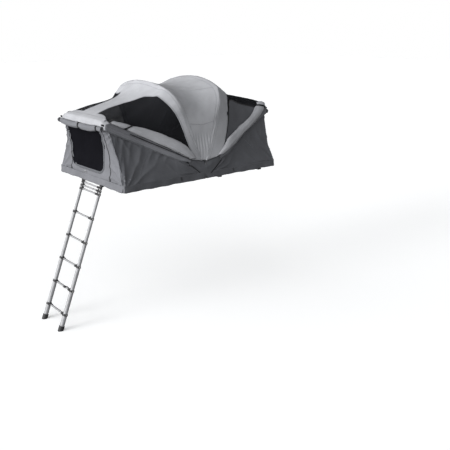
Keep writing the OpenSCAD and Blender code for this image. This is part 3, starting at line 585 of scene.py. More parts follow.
def canvas(name, colour, thread=0.0016, cloud=0.1, rough=0.9, sheen=0.04, shine=0.15, alpha=1.0):
    """Plain-woven cloth with threads, clouds of wear and a soft sheen."""
    m, nt, bsdf = new_finish(name)
    coord = add(nt, "TexCoord").outputs
    look = {"Vector": coord["UV"], "Scale": WAVE / thread, "Distortion": 0.6}
    warp, weft = (add(nt, "TexWave", bands_direction=way, **look).outputs["Fac"] for way in "XY")
    weave = sums(nt, "MULTIPLY", warp, weft)
    dark, pale = ([min(1, c * (1 + k)) for c in colour] for k in (-cloud, cloud))
    tone = ramp(nt, clouds(nt, coord["Object"], 5.0, 6.0, 0.6), (0.3, dark), (0.7, pale))
    grey = add(nt, "MapRange", weave, To_Min=0.72).outputs[0]
    bump = add(nt, "Bump", Strength=0.25, Distance=0.0004, Height=weave).outputs[0]
    shade = blended(nt, 0.35, tone, grey, blend_type="MULTIPLY")
    feed(nt, bsdf, Base_Color=shade, Normal=bump, Roughness=rough, Sheen_Weight=sheen, Sheen_Roughness=0.5,
         Specular_IOR_Level=shine, Alpha=alpha)
    return m


def stitched(name, colour, thread, gap=0.006, rough=0.8):
    """Sewn tape with a row of stitches near each edge, on a UV map in metres and shares."""
    m, nt, bsdf = new_finish(name)
    coord = add(nt, "TexCoord").outputs
    axes = add(nt, "SeparateXYZ", coord["UV"]).outputs
    off = sums(nt, "ABSOLUTE", sums(nt, "SUBTRACT", axes["Y"], 0.5))
    row = sums(nt, "COMPARE", off, 0.32, 0.06)
    dash = sums(nt, "GREATER_THAN", sums(nt, "PINGPONG", axes["X"], gap / 2), gap * 0.18)
    stitch = sums(nt, "MULTIPLY", row, dash)
    dark, pale = ((*[c * k for c in colour], 1) for k in (0.85, 1.15))
    tone = blended(nt, clouds(nt, coord["Object"], 40.0, 3.0), dark, pale)
    bump = add(nt, "Bump", Strength=0.5, Distance=0.0006, Height=stitch).outputs[0]
    feed(nt, bsdf, Base_Color=blended(nt, stitch, tone, (*thread, 1)), Normal=bump, Roughness=rough,
         Specular_IOR_Level=0.25)
    return m


MESH_LOOK = {"thread": 0.0022, "cloud": 0.2, "sheen": 0.0, "shine": 0.03}
LIGHT_CLOTH = canvas("light_canvas", (0.395, 0.397, 0.415))
DARK_CLOTH = canvas("dark_canvas", (0.098, 0.1, 0.109))
# A paler copy of the dark cloth: painted light on the end walls, painted shade on sleeve sides and door rolls
PAINTED_LIGHT_SHADE_CLOTH = canvas("end_wall_canvas", (0.165, 0.167, 0.18))
ROLL_CLOTH = canvas("roll_canvas", (0.37, 0.372, 0.39))
MESH_CLOTH = canvas("window_mesh", (0.018, 0.0185, 0.021), alpha=0.68, **MESH_LOOK)
# Opaque and near black: the black door mesh, with the shaded inside behind it painted on
DOOR_MESH_PAINTED_SHADE = canvas("door_mesh", (0.006, 0.006, 0.008), **MESH_LOOK)
WEBBING = canvas("black_webbing", (0.012, 0.012, 0.013), thread=0.0024, cloud=0.15, rough=0.7, sheen=0.05)
FOAM = canvas("mattress_cover", (0.2, 0.205, 0.215), thread=0.002)
LIGHT_TAPE = stitched("light_seam_tape", (0.29, 0.295, 0.31), (0.16, 0.165, 0.18))
DARK_TAPE = stitched("dark_seam_tape", (0.085, 0.088, 0.096), (0.2, 0.205, 0.215))
LOOP = stitched("pale_loop_tape", (0.3, 0.3, 0.3), (0.2, 0.2, 0.2))
ZIP = stitched("zip_tape", (0.009, 0.009, 0.010), (0.03, 0.03, 0.032), gap=0.003, rough=0.6)


def dress(obj, finish, slot):
    obj.data.materials.append(finish)
    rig.slot(obj, slot)
    return obj


print("cloth finishes:", [m.name for m in bpy.data.materials if m.use_nodes])

# %% [markdown]
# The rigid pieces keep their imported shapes. Anodised and mill-finished aluminium
# has a fine grain and small scratches, painted steel a slight orange peel, and
# moulded plastic a leathery grain.

# %% Finishes for metal and plastic
def metal(name, colour, rough, metallic=1.0, grain=(4, 4, 260), bump=0.05):
    """Metal or plastic with a fine grain and patches of wear."""
    m, nt, bsdf = new_finish(name)
    here = add(nt, "TexCoord").outputs["Object"]
    lines = clouds(nt, add(nt, "Mapping", here, Scale=grain).outputs[0], 3.0, 5.0, 0.65)
    worn = [c * 0.82 for c in colour]
    tone = ramp(nt, clouds(nt, here, 18.0, 4.0), (0.35, worn), (0.7, colour))
    spread = add(nt, "MapRange", lines, To_Min=rough * 0.8, To_Max=min(1, rough * 1.3)).outputs[0]
    ripple = add(nt, "Bump", Strength=bump, Distance=0.001, Height=lines).outputs[0]
    feed(nt, bsdf, Base_Color=tone, Roughness=spread, Normal=ripple, Metallic=metallic)
    return m


FINISH = {
    "floor_board": metal("floor_board_skin", (0.5, 0.51, 0.53), 0.5, 0.6, (30, 30, 30)),
    "frame_alloy": metal("frame_alloy_skin", (0.42, 0.43, 0.45), 0.42, 0.9, (2, 260, 260)),
    "black_plastic": metal("black_plastic_skin", (0.018, 0.018, 0.02), 0.55, 0.0, (220, 220, 220), 0.15),
    "steel": metal("painted_steel_skin", (0.09, 0.093, 0.1), 0.45, 0.3, (180, 180, 180), 0.12),
    "hoop_tube": metal("hoop_tube_skin", (0.5, 0.51, 0.53), 0.35, 0.9, (200, 6, 200)),
    "ladder_alloy": metal("ladder_alloy_skin", (0.36, 0.36, 0.37), 0.5, 0.15, (220, 220, 5)),
    "ladder_plastic": metal("ladder_plastic_skin", (0.014, 0.014, 0.015), 0.5, 0.0, (240, 240, 240), 0.15),
    "webbing": WEBBING,
}
for part in frame["record"]["subparts"]:
    finish = FINISH.get(part["material_slot"])
    if finish is not None:
        nodes[part["node"]].data.materials.clear()
        nodes[part["node"]].data.materials.append(finish)
print("finishes on", len(FINISH), "slots")

# %% [markdown]
# When the tent closes, the hoops fold down like a fan about the pins, and the cloth
# between two hoops folds with them. `fan` gives each point a share between its two
# hoops by its angle about the pins, so the sheet stays sewn to both.

# %% Cloth that follows two hoops
HOOP_ANGLE = {"right_bow": BOW_TILT, "right_arch": 90 - ARCH_TILT, "left_arch": 90 + ARCH_TILT,
              "left_bow": 180 - BOW_TILT}
# For each hand: the lanes of its arch and bow and its way along X, its hoops and its panel
HANDS = {"left": (1, 3, -1), "right": (0, 2, 1)}
BETWEEN = {"left": ("left_arch", "left_bow"), "right": ("right_bow", "right_arch")}
PANEL = {"left": "fold", "right": "base"}
FLANKS = ((-1, "near"), (1, "far"))


def fan(obj, first, second):
    a, b = HOOP_ANGLE[first], HOOP_ANGLE[second]
    pin = to_row([0, 0, HINGE_H])
    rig.blend(obj, first, second, start=tuple(pin - (0.4, 0, 0)), end=tuple(pin + (0.4, 0, 0)))
    co = np.array([v.co for v in obj.data.vertices]) - pin
    angle = np.degrees(np.arctan2(co[:, 2], co[:, 0]))
    angle[angle < -90] += 360
    share = np.clip((angle - a) / (b - a), 0, 1)
    obj.data.attributes["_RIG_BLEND"].data.foreach_set("value", share.astype(np.float32))
    return obj


print("the fan opens from", min(HOOP_ANGLE.values()), "to", max(HOOP_ANGLE.values()), "degrees")

# %% [markdown]
# The centre panel is stretched between the two arches. It dips between them like a
# saddle and is nearly flat down its sides.

# %% Centre of the canopy
OVER_ARCH = 9.5 + 2.2


def centre_shape(u, v):
    rows = u * LAST_ROW
    a = in_plane(arch_line(1, OVER_ARCH, rows), 90 + ARCH_TILT)
    b = in_plane(arch_line(0, OVER_ARCH, rows), 90 - ARCH_TILT)
    p = mix(a, b, v[:, None])
    high = smooth((p[:, 2] - HINGE_H - 500) / 500)
    hub = np.array([0, 0, HINGE_H + 300])
    away = unit(p - hub)
    return p - (4 * v * (1 - v) * mix(6, SADDLE_SAG, high))[:, None] * away


def centre_wrinkle(co):
    """Soft clouds, upright pleats low on the sides and a few slanting pulls above them."""
    side = smooth((0.95 - co[:, 2]) / 0.4)
    low = smooth((0.62 - co[:, 2]) / 0.12) * smooth((co[:, 2] - 0.2) / 0.2)
    pleat = 0.0022 * np.sin(co[:, 0] * 150 + 3 * folds(co, 4, 5)) * low
    slant = 0.005 * np.sin(9 * (co[:, 0] - 0.9 * co[:, 2]) + 2 * folds(co, 3, 7)) * side * (1 - low)
    cloudy = 0.005 * folds(co * (1, 1, 0.6), 6, 1) * (0.4 + 0.6 * side) + 0.002 * folds(co, 14, 2)
    return cloudy + pleat + slant


def centre_tapes():
    """The sleeve seam beside each arch, two seams across, and pleats under the lower one."""
    across = [(13.8, 0.07), (13.4, 0.4), (12.8, 0.68), (11.6, 0.93)]
    lower = [(4.25, 0.07), (4.0, 0.5), (4.25, 0.93)]
    lines = [[(0.01, v), (0.25, v), (0.5, v), (0.75, v), (0.99, v)] for v in (0.07, 0.93)]
    for seam in (across, lower):
        lines.append([(r / LAST_ROW, v) for r, v in seam])
        lines.append([(1 - r / LAST_ROW, v) for r, v in seam])
    return [tape(centre_shape, centre_wrinkle, line, 6) for line in lines]


centre = cloth_sheet("canopy_centre_cloth", 240, 48, centre_shape, (2.75, 0.75), centre_wrinkle)
dress(centre, LIGHT_CLOTH, "light_cloth")
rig.replaces(centre, "canopy_centre")
fan(centre, "right_arch", "left_arch")
centre_seams = trim("canopy_centre_seams", centre_tapes(), LIGHT_TAPE, "light_cloth")
fan(centre_seams, "right_arch", "left_arch")
cut_sheet(centre, (2.75, 0.82), 0.73, "stretched", ["right_arch", "left_arch"], [centre_seams])

# %% [markdown]
# Each side of the canopy is one cut: a band beside the arch, a strip along the
# middle of the roof, and an end band that joins them at the corners. The windows
# fill the two gaps. Slack cloth lies lower and further in than a straight line from
# arch to bow. The grid's lines are drawn along the cut's edges, so they stay clean.

# %% Surface of a canopy side
STRIP_EDGE = np.array([
    (0.0, 420), (0.12, 400), (0.14, 362), (0.155, 325), (0.17, 293), (0.19, 269), (0.23, 247), (0.33, 217),
    (0.45, 180), (0.57, 165), (0.68, 153), (0.86, 169), (1.0, 185)])
BAND_EDGE = {
    -1: np.array([(0, 0.4), (0.13, 0.32), (0.17, 0.26), (0.25, 0.19), (0.34, 0.15), (0.6, 0.14), (1, 0.14)]),
    1: np.array([(0, 0.8), (0.13, 0.71), (0.22, 0.58), (0.34, 0.43), (0.42, 0.33), (0.55, 0.24),
                 (0.75, 0.2), (1, 0.16)])}
SIDE_U, SIDE_W, END_BAND = 190, 60, 0.87
CUT, FOOT, CORNER = 66 / SIDE_U, 6 / SIDE_U, 47 / SIDE_U
W_BAND, W_END = 15 / SIDE_W, 54 / SIDE_W
END_RISE, CORNER_RISE = 38, {2: 32, 3: 0}
STEPS = np.linspace(0, 1, 60)


def slack_share(v, early, late):
    peak = early / (early + late)
    return (v / peak) ** early * ((1 - v) / (1 - peak)) ** late


def end_lift(rows, bow):
    """The roof's end edge is drawn up over the rolled door, on the right higher at the corners."""
    j = from_foot(rows)
    at_corner = CORNER_RISE[bow] * smooth((j - 9) / 2.5) * smooth((18 - j) / 4)
    return END_RISE * smooth((j - 11) / 3) + at_corner


def side_surface(arch, bow, flip, sink=0.0):
    """Points at rows 0 to 38 and a share v of the way from arch to bow."""
    def surface(rows, v):
        v = np.broadcast_to(v, rows.shape)
        a = in_plane(arch_line(arch, OVER_ARCH - sink, rows), 90 - ARCH_TILT)
        b = bow_skin(bow_line(bow, rows), 1)
        b[:, 2] += end_lift(rows, bow)
        p = mix(a, b, v[:, None])
        j = from_foot(rows)
        past = (j - LEG_ROWS - SHOULDER_ROWS) / CROWN_ROWS
        rise = smooth((j - LEG_ROWS / 2) / (LEG_ROWS / 2 + SHOULDER_ROWS))
        roof = smooth(3 * past + 0.45)
        share = slack_share(v, mix(1.5, 0.8, roof), mix(1.5, 2.4, roof))
        inwards = np.where(rows < LAST_ROW / 2, 1, -1)
        p[:, 1] += share * inwards * WINDOW_IN * np.where(past < 0, rise, 1 - past)
        sag = np.where(rows < LAST_ROW / 2, WINDOW_SAG, FAR_SAG)
        p[:, 2] -= share * mix(sag * rise, ROOF_SAG, roof) + sink * v
        p[:, 0] *= flip
        return p
    return surface


def end_share(t):
    """How far the end band has opened at a share t of the window's height."""
    return smooth((t - 0.7) / 0.22)


def strip_rows(arch, bow):
    """Row of the roof strip's edge at each share of the way from arch to bow."""
    surface = side_surface(arch, bow, 1)
    rows = np.linspace(6, 19, 260)
    found = []
    for v in STEPS:
        y = surface(rows, v)[:, 1]
        found.append(rows[np.argmax(y > -np.interp(v, *STRIP_EDGE.T))])
    return np.array(found)


def side_shape(arch, bow, flip, sink=0.0):
    """The same surface on a grid whose lines follow the windows' edges."""
    surface, edges = side_surface(arch, bow, flip, sink), strip_rows(arch, bow)

    def shape(u, w):
        inner = np.minimum(u, 1 - u)
        t = np.minimum(inner / CUT, 1)
        band = np.interp(t, *BAND_EDGE[flip].T)
        end = mix(1.0, END_BAND, end_share(t))
        v = np.interp(w, [0, W_BAND, W_END, 1], [0, 1, 2, 3])
        v = np.where(v < 1, band * v, np.where(v < 2, mix(band, end, v - 1), mix(end, 1.0, v - 2)))
        edge = np.interp(v, STEPS, edges)
        row = np.where(inner < CUT, t * edge, mix(edge, 19, (inner - CUT) / (0.5 - CUT)))
        return surface(np.where(u <= 0.5, row, LAST_ROW - row), v)
    return shape


print("roof strip edge at rows", strip_rows(1, 3)[::12].round(1))

# %% [markdown]
# The cut keeps the band, the strip and the end band. A light tape binds the edge of
# each window, and a seam runs along the arch's sleeve.

# %% Sides of the canopy
def canopy_wrinkle(co):
    return 0.0035 * folds(co, 7, 3) + 0.002 * folds(co, 16, 4)


def kept_side(u, w):
    inner = np.minimum(u, 1 - u)
    foot = (inner < FOOT) & (w < W_END)
    return (w < W_BAND) | (inner > CUT) | foot | ((w > W_END) & (inner > CORNER))


def side_tapes(shape):
    """Bindings round both windows, and the arch's sleeve seam."""
    tapes = [tape(shape, canopy_wrinkle, [(0.004, 0.06), (0.996, 0.06)], 5)]
    for near in (True, False):
        line = [(FOOT, W_BAND), (CUT, W_BAND), (CUT, W_END), (CORNER, W_END)]
        tapes.append(tape(shape, canopy_wrinkle, line if near else [(1 - a, b) for a, b in line], 14))
    return tapes


SIDE_CUT = {-1: ((2.75, 0.92), 0.32), 1: ((2.75, 1.1), 0.32)}


def canopy_side(hand):
    arch, bow, flip = HANDS[hand]
    hoops, shape = BETWEEN[hand], side_shape(arch, bow, flip)
    obj = cloth_sheet(f"canopy_{hand}_cloth", SIDE_U, SIDE_W, shape, (2.75, 1.1), canopy_wrinkle, kept_side)
    dress(obj, LIGHT_CLOTH, "light_cloth")
    fan(obj, *hoops)
    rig.replaces(obj, f"canopy_{hand}")
    seams = fan(trim(obj.name + "_seams", side_tapes(shape), LIGHT_TAPE, "light_cloth"), *hoops)
    cut_sheet(obj, *SIDE_CUT[flip], "stretched", list(hoops), [seams])
    return obj


tell([canopy_side(hand) for hand in HANDS])

# %% [markdown]
# A window is insect mesh. It is sewn a little under the canopy's edges, and one can
# see through it into the dark inside. On the right side a dark panel is zipped over
# most of the mesh.

# %% Window meshes
WINDOW_CUT, PANEL_CUT = ((1.3, 1.0), 0.5), ((0.85, 0.55), 0.5)
LAP, W_LAST, MESH_UNDER, PANEL_OVER = 1.2, 0.985, 4.0, 8.0
PANEL_LOW, PANEL_HIGH, PANEL_IN, PANEL_OUT, PANEL_R = 0.1, 0.62, 0.08, 0.97, 0.12


def window_shape(hand, side, sink):
    whole = side_shape(*HANDS[hand], sink)

    def shape(u, v):
        across = mix(FOOT - LAP / SIDE_U, CUT + LAP / SIDE_U, u)
        last = mix(W_END, W_LAST, end_share(across / CUT))
        return whole(across if side < 0 else 1 - across, mix(W_BAND - LAP / SIDE_W, last, v))
    return shape


def window(hand, side, word):
    hoops, name = BETWEEN[hand], f"window_{hand}_{word}"
    shape = window_shape(hand, side, MESH_UNDER)
    obj = cloth_sheet(name, 70, 40, shape, (0.9, 0.85), lambda co: 0.003 * folds(co, 5, 6 + side))
    dress(obj, MESH_CLOTH, "mesh_cloth")
    fan(obj, *hoops)
    cut_sheet(obj, *WINDOW_CUT, "stretched", list(hoops))
    return obj


def in_panel(u, v):
    """True inside the zipped panel's outline, with a rounded upper corner."""
    du = np.maximum(u - (PANEL_HIGH - PANEL_R), 0)
    dv = np.maximum(PANEL_IN + PANEL_R - v, 0)
    return (u > PANEL_LOW) & (v < PANEL_OUT) & (v > PANEL_IN) & (np.hypot(du, dv) < PANEL_R)


def panel_edge():
    """The outline's upper part, from the band's foot round the corner."""
    turn = np.radians(np.linspace(0, 90, 9))
    u, v = PANEL_HIGH - PANEL_R, PANEL_IN + PANEL_R
    corner = [(u + PANEL_R * math.sin(a), v - PANEL_R * math.cos(a)) for a in turn]
    return [(PANEL_LOW, PANEL_IN), *corner, (PANEL_HIGH, PANEL_OUT)]


def panel_wrinkle(co):
    return 0.004 * folds(co * (1, 1, 0.5), 8, 31)


def window_panel(side, word):
    hoops, shape = BETWEEN["right"], window_shape("right", side, -PANEL_OVER)
    obj = cloth_sheet("window_panel_" + word, 100, 60, shape, (0.9, 0.85), panel_wrinkle, in_panel)
    dress(obj, DARK_CLOTH, "dark_cloth")
    fan(obj, *hoops)
    zip_line = trim(obj.name + "_zip", [tape(shape, panel_wrinkle, panel_edge(), 13)], ZIP, "webbing")
    fan(zip_line, *hoops)
    cut_sheet(obj, *PANEL_CUT, "stretched", list(hoops), [zip_line])
    return obj


windows, panels = [], []
for side, word in FLANKS:
    windows += [window(hand, side, word) for hand in HANDS]
    panels.append(window_panel(side, word))
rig.replaces(windows[0], "windows_left")
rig.replaces(windows[1], "windows_right")
tell(windows + panels)

# %% [markdown]
# The walls go from the hem round the base up to the bow's leg and the roof's end
# edge. The end walls are drawn inwards a little between their corners. A door is
# cut out of each end wall, with rounded corners, and filled with mesh.

# %% Shape of the walls
SIDE_COLS, END_COLS = 9, 10
DOOR_LOW, DOOR_TOP, DOOR_R = 142.0, 690.0, 95.0
DOOR_NEAR = np.array([(DOOR_LOW, -318), (240, -322), (DOOR_TOP, -388)])
DOOR_FAR = np.array([(DOOR_LOW, 440), (240, 466), (DOOR_TOP, 482)])
WALL_FROM, VALLEY_Z, RIM_BACK = 12, 9, 50


def hem_half():
    """The hem from the hinge along the side, round the corner and to the middle of the end."""
    side = [(mix(WALL_FROM, SKIN_X - CORNER_R, j / SIDE_COLS), SKIN_Y) for j in range(SIDE_COLS + 1)]
    c = np.array([SKIN_X - CORNER_R, SKIN_Y - CORNER_R])
    corner = [tuple(c + CORNER_R * out_dir(a)) for a in (60, 30, 0)]
    end = [(SKIN_X, mix(SKIN_Y - CORNER_R, 0, 2 * j / END_COLS)) for j in range(1, END_COLS // 2 + 1)]
    return np.array(side + corner + end)


def rim_half(i):
    """The wall's upper edge, point for point with the hem."""
    edge_y = leg_point(i, EDGE_AT)[0]
    knee_x = KNEE_AT * math.cos(math.radians(BOW_TILT))
    legs = SIDE_COLS - 2
    pts = [np.array([[WALL_FROM, SKIN_Y + 3, VALLEY_Z],
                     [mix(WALL_FROM, knee_x, 0.5), SKIN_Y + 2, mix(VALLEY_Z, KNEE_Z, 0.5)]])]
    pts.append(bow_skin(leg_point(i, mix(KNEE_AT, EDGE_AT - RIM_BACK, np.arange(legs + 1) / legs)), -1))
    pts.append(bow_skin(np.array([(edge_y - 12 * j, EDGE_AT - RIM_BACK + 12 * j) for j in (1, 2, 3)]), -1))
    end = [(mix(edge_y - 36, 0, 2 * j / END_COLS), EDGE_AT - 14) for j in range(1, END_COLS // 2 + 1)]
    pts.append(bow_skin(np.array(end), -1))
    return np.concatenate(pts)


def wall_shape(i, flip, inset=0.0):
    """A wall from the skirt's seam to its upper edge, drawn inwards at its end."""
    hem, rim = hem_half(), rim_half(i)
    n = len(hem) - 1

    def shape(u, v):
        k = np.where(u <= 0.5, u, 1 - u) * 2 * n
        h, r = at_index(hem, k), at_index(rim, k)
        sewn = np.stack([h[:, 0], h[:, 1], np.minimum(SKIRT_H, r[:, 2] * 0.5)], -1)
        p = mix(sewn, r, v[:, None])
        end = smooth((k - SIDE_COLS) / 4)
        pull = smooth((h[:, 0] - 700) / 500) * 4 * v * (1 - v) * WALL_HOLLOW
        p[:, 0] -= pull * mix(0.4, 1, end) + inset * end
        p[:, 1] -= (pull * 0.5 + inset * (1 - end)) * h[:, 1] / SKIN_Y
        p[:, 1] *= np.where(u <= 0.5, -1, 1)
        p[:, 0] *= flip
        return p
    return shape


def door_sides(z):
    return np.interp(z, *DOOR_NEAR.T), np.interp(z, *DOOR_FAR.T)


def in_door(y, z, grow=0.0):
    """True inside the door's outline, which is wider at the top, in tent millimetres."""
    near, far = door_sides(z)
    wave = 4 * np.sin(z / 23) * np.sin(z / 61)
    dy = np.maximum(np.abs(y - (near + far) / 2) - ((far - near) / 2 + grow + wave - DOOR_R), 0)
    dz = np.maximum(np.abs(z - (DOOR_TOP + DOOR_LOW) / 2) - ((DOOR_TOP - DOOR_LOW) / 2 + grow - DOOR_R), 0)
    return np.hypot(dy, dz) < DOOR_R


def door_outline():
    """Points round the door in y and z, with rounded corners."""
    pts = []
    for corner, (y_sign, z_sign) in enumerate(((-1, 1), (-1, -1), (1, -1), (1, 1))):
        for a in np.radians(np.linspace(0, 90, 8)):
            a = a if y_sign * z_sign > 0 else math.pi / 2 - a
            z = (DOOR_TOP - DOOR_R if z_sign > 0 else DOOR_LOW + DOOR_R) + z_sign * DOOR_R * math.sin(a)
            side = door_sides(z)[0 if y_sign < 0 else 1]
            pts.append((side + y_sign * (DOOR_R * math.cos(a) - DOOR_R), z))
    return np.array(pts)


print("the hem has", 2 * len(hem_half()) - 1, "points and the door", len(door_outline()))

# %% [markdown]
# Creases spread over the walls from their corners and from the hinge, and upright
# pleats gather beside the ends. Seams and zips are placed by their measures on the
# end wall, across and up.

# %% Creases and seams of the walls
def wall_wrinkle(flip):
    """Clouds, and creases that spread from the corner, the hinge and the top of each end."""
    fans = ((to_row([flip * 1215, -800, 30]), 0.017, 21, 0.8),
            (to_row([flip * 60, -800, 40]), 0.010, 23, 0.85),
            (to_row([flip * 1150, -560, 700]), 0.009, 19, 0.55))

    def wrinkle(co):
        near = co.copy()
        near[:, 1] = -np.abs(near[:, 1])
        lift = 0.004 * folds(co * (1, 1, 0.7), 5, 8) + 0.002 * folds(co, 13, 9)
        bend = 2.5 * folds(co, 3, 5)
        for centre, strength, number, far in fans:
            d = near - centre
            r = np.linalg.norm(d, axis=1)
            turn = np.arctan2(d[:, 2], np.abs(d[:, 0]) + np.abs(d[:, 1]))
            reach = smooth(r / 0.12) * smooth((far - r) / (0.8 * far))
            lift += strength * (1 - 2 * np.abs(np.sin(number / 2 * turn + bend)) ** 0.7) * reach * 0.6
        along, up = np.abs(co[:, 0]), co[:, 2]
        by_corner = smooth((np.abs(co[:, 1]) - 0.45) / 0.15)
        pleated = smooth((along - 0.72) / 0.3) * smooth((up - 0.2) / 0.3) * by_corner
        uneven = 0.7 + 0.5 * folds(co * (1, 1, 0.3), 9, 33)
        return lift - 0.021 * pleated * uneven * np.abs(np.sin(24 * (along + 0.55 * up) + bend)) ** 0.8
    return wrinkle


WALL_KEEP = 0.13


def closes_flat(obj, body):
    """The walls fold down onto the base as the tent closes."""
    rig.ride(obj, body)
    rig.squash(obj, "fold", axis=(0, 0, 1), anchor=(0, 0, RAIL_H / 1000), keep=WALL_KEEP)
    return obj


def on_end(shape, yz):
    """Wall shares u and v of points on an end wall, given across and up in millimetres."""
    u, v = (g.ravel() for g in np.meshgrid(np.linspace(0.3, 0.7, 81), np.linspace(0, 1, 41)))
    p = shape(u, v)
    found = []
    for y, z in yz:
        k = np.argmin(np.hypot(p[:, 1] - y, p[:, 2] - z))
        at_u, at_v, reach = u[k], v[k], 0.02
        for _ in range(4):
            du, dv = (g.ravel() * reach for g in np.meshgrid(np.linspace(-1, 1, 9), np.linspace(-1, 1, 9)))
            q = shape(at_u + du, np.clip(at_v + dv, 0, 1))
            k = np.argmin(np.hypot(q[:, 1] - y, q[:, 2] - z))
            at_u, at_v, reach = at_u + du[k], np.clip(at_v + dv[k], 0, 1), reach / 3
        found.append((at_u, at_v))
    return found


def filled(points, step=18):
    """The same line with points at an even pace."""
    pts = np.asarray(points, float)
    reach = pace(pts)
    at = np.linspace(0, reach[-1], max(2, int(reach[-1] / step)))
    return np.stack([np.interp(at, reach, pts[:, 0]), np.interp(at, reach, pts[:, 1])], -1)


NEAR_ZIP = [(-419, 690), (-452, 400), (-482, 84)]
FAR_ZIP = [(503, 690), (499, 400), (487, 76)]
PIPING = ((0.003, 0.062), (0.938, 0.997))
LOOP_AT, LOOP_W, LOOP_H = (116, 84), 28, 32


def wall_tapes(shape, wrinkle):
    """Slanting and upright seams, and a binding round the door."""
    seam = [(0.158, 0.8), (0.185, 0.49), (0.211, 0.17)]
    tapes = [tape(shape, wrinkle, seam, 7), tape(shape, wrinkle, [(1 - u, v) for u, v in seam], 7)]
    for u in (0.345, 0.655):
        tapes.append(tape(shape, wrinkle, [(u, 0.02), (u, 0.96)], 7))
    outline = np.concatenate([door_outline(), door_outline()[:1]])
    return tapes + [tape(shape, wrinkle, on_end(shape, filled(outline)), 30, 1.6)]


print("the zips end", NEAR_ZIP[-1][1], "and", FAR_ZIP[-1][1], "mm above the panels")

# %% [markdown]
# Each wall is one sheet with its seams, zips and a pale loop sewn on. As the tent
# closes it folds down onto its panel.

# %% Walls
def paint_light_on_ends(obj):
    """Faces that look along the tent get a paler copy of the dark cloth: painted light on the ends."""
    obj.data.materials.append(PAINTED_LIGHT_SHADE_CLOTH)
    for f in obj.data.polygons:
        f.material_index = int(abs(f.normal.x) > abs(f.normal.y))


def loop_line():
    arc = np.radians(np.linspace(0, 180, 13))
    return np.stack([LOOP_AT[0] + LOOP_W * np.cos(arc), LOOP_AT[1] + LOOP_H * np.sin(arc)], -1)


def wall(hand):
    _, bow, flip = HANDS[hand]
    body, name = PANEL[hand], f"wall_{hand}_cloth"
    shape, wrinkle = wall_shape(bow, flip), wall_wrinkle(flip)

    def keep(u, v):
        p = shape(u, v)
        return ~((np.abs(u - 0.5) < 0.2) & in_door(p[:, 1], p[:, 2]))

    def sewn_on(word, tapes, finish, slot):
        return closes_flat(trim(f"{name}_{word}", tapes, finish, slot), body)

    obj = cloth_sheet(name, 340, 72, shape, (3.9, 0.75), wrinkle, keep)
    paint_light_on_ends(dress(obj, DARK_CLOTH, "dark_cloth"))
    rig.replaces(obj, f"walls_{hand}")
    closes_flat(obj, body)
    seams = sewn_on("seams", wall_tapes(shape, wrinkle), DARK_TAPE, "dark_cloth")
    zips = [tape(shape, wrinkle, on_end(shape, filled(line)), 13, 2.2) for line in (NEAR_ZIP, FAR_ZIP)]
    zips += [tape(shape, wrinkle, [(a, 0.95), (b, 0.95)], 15, 2.5) for a, b in PIPING]
    zips = sewn_on("zips", zips, ZIP, "webbing")
    loop = [tape(shape, wrinkle, on_end(shape, loop_line()), 7, 7.0)]
    loop = sewn_on("loop", loop, LOOP, "webbing")
    cut_sheet(obj, (3.95, 0.8), 0.41, "stretched", [body], [seams, zips, loop])
    return obj


tell([wall(hand) for hand in HANDS])

# %% [markdown]
# The door's mesh is sewn behind the opening. Its cut is a little larger than the
# opening all round.

# %% Door meshes
def door_wrinkle(co):
    return 0.003 * folds(co, 6, 12)


def door_mesh(hand):
    _, bow, flip = HANDS[hand]
    whole = wall_shape(bow, flip, inset=5.0)

    def shape(u, v):
        return whole(mix(0.3, 0.7, u), v)

    def keep(u, v):
        p = shape(u, v)
        return in_door(p[:, 1], p[:, 2], 22)

    obj = cloth_sheet(f"door_mesh_{hand}", 130, 70, shape, (1.3, 0.7), door_wrinkle, keep)
    dress(obj, DOOR_MESH_PAINTED_SHADE, "mesh_cloth")
    closes_flat(obj, PANEL[hand])
    cut_sheet(obj, (0.95, 0.62), 0.87, "stretched", [PANEL[hand]])
    return obj


tell([door_mesh(hand) for hand in HANDS])

# %% [markdown]
# A skirt hangs over the edge of the base all round and keeps rain off the frame. It
# hangs free of the wall, so its lower edge waves a little.

# %% Skirts
SKIRT_FLARE, SKIRT_WAVE = (3.5, 12), 8


def skirt_shape(flip):
    """A band outside the hem that flares and waves at its lower edge."""
    hem = hem_half()
    n = len(hem) - 1

    def shape(u, v):
        k = np.where(u <= 0.5, u, 1 - u) * 2 * n
        h = at_index(hem, k)
        end = smooth((k - SIDE_COLS) / 3)
        s = np.where(u <= 0.5, -1, 1)
        flare = mix(*SKIRT_FLARE, 1 - v) + SKIRT_WAVE * (1 - v) * np.sin(u * 83) * np.sin(u * 29 + 1)
        x = h[:, 0] + flare * end
        y = (h[:, 1] + flare * (1 - smooth((k - SIDE_COLS - 1) / 3))) * s
        z = mix(-6 + 4 * np.sin(u * 41) * np.sin(u * 97), SKIRT_H + 4, v)
        return np.stack([x * flip, y, z], -1)
    return shape


def skirt(hand):
    shape = skirt_shape(HANDS[hand][2])
    obj = cloth_sheet(f"skirt_{hand}", 240, 8, shape, (3.9, 0.09), lambda co: 0.004 * folds(co, 14, 21))
    paint_light_on_ends(dress(obj, DARK_CLOTH, "dark_cloth"))
    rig.ride(obj, PANEL[hand])
    cut_sheet(obj, (4.0, 0.09), 1.0, "hung", [PANEL[hand]])
    return obj


tell([skirt(hand) for hand in HANDS])

# %% [markdown]
# Between the bows' legs a dark panel covers the hinge on each side. It is cut in
# two along the middle, and each half folds with its bow and arch.

# %% Valley panels over the hinge
VALLEY_SEAMS = ((0.04, 15), (0.97, 8))


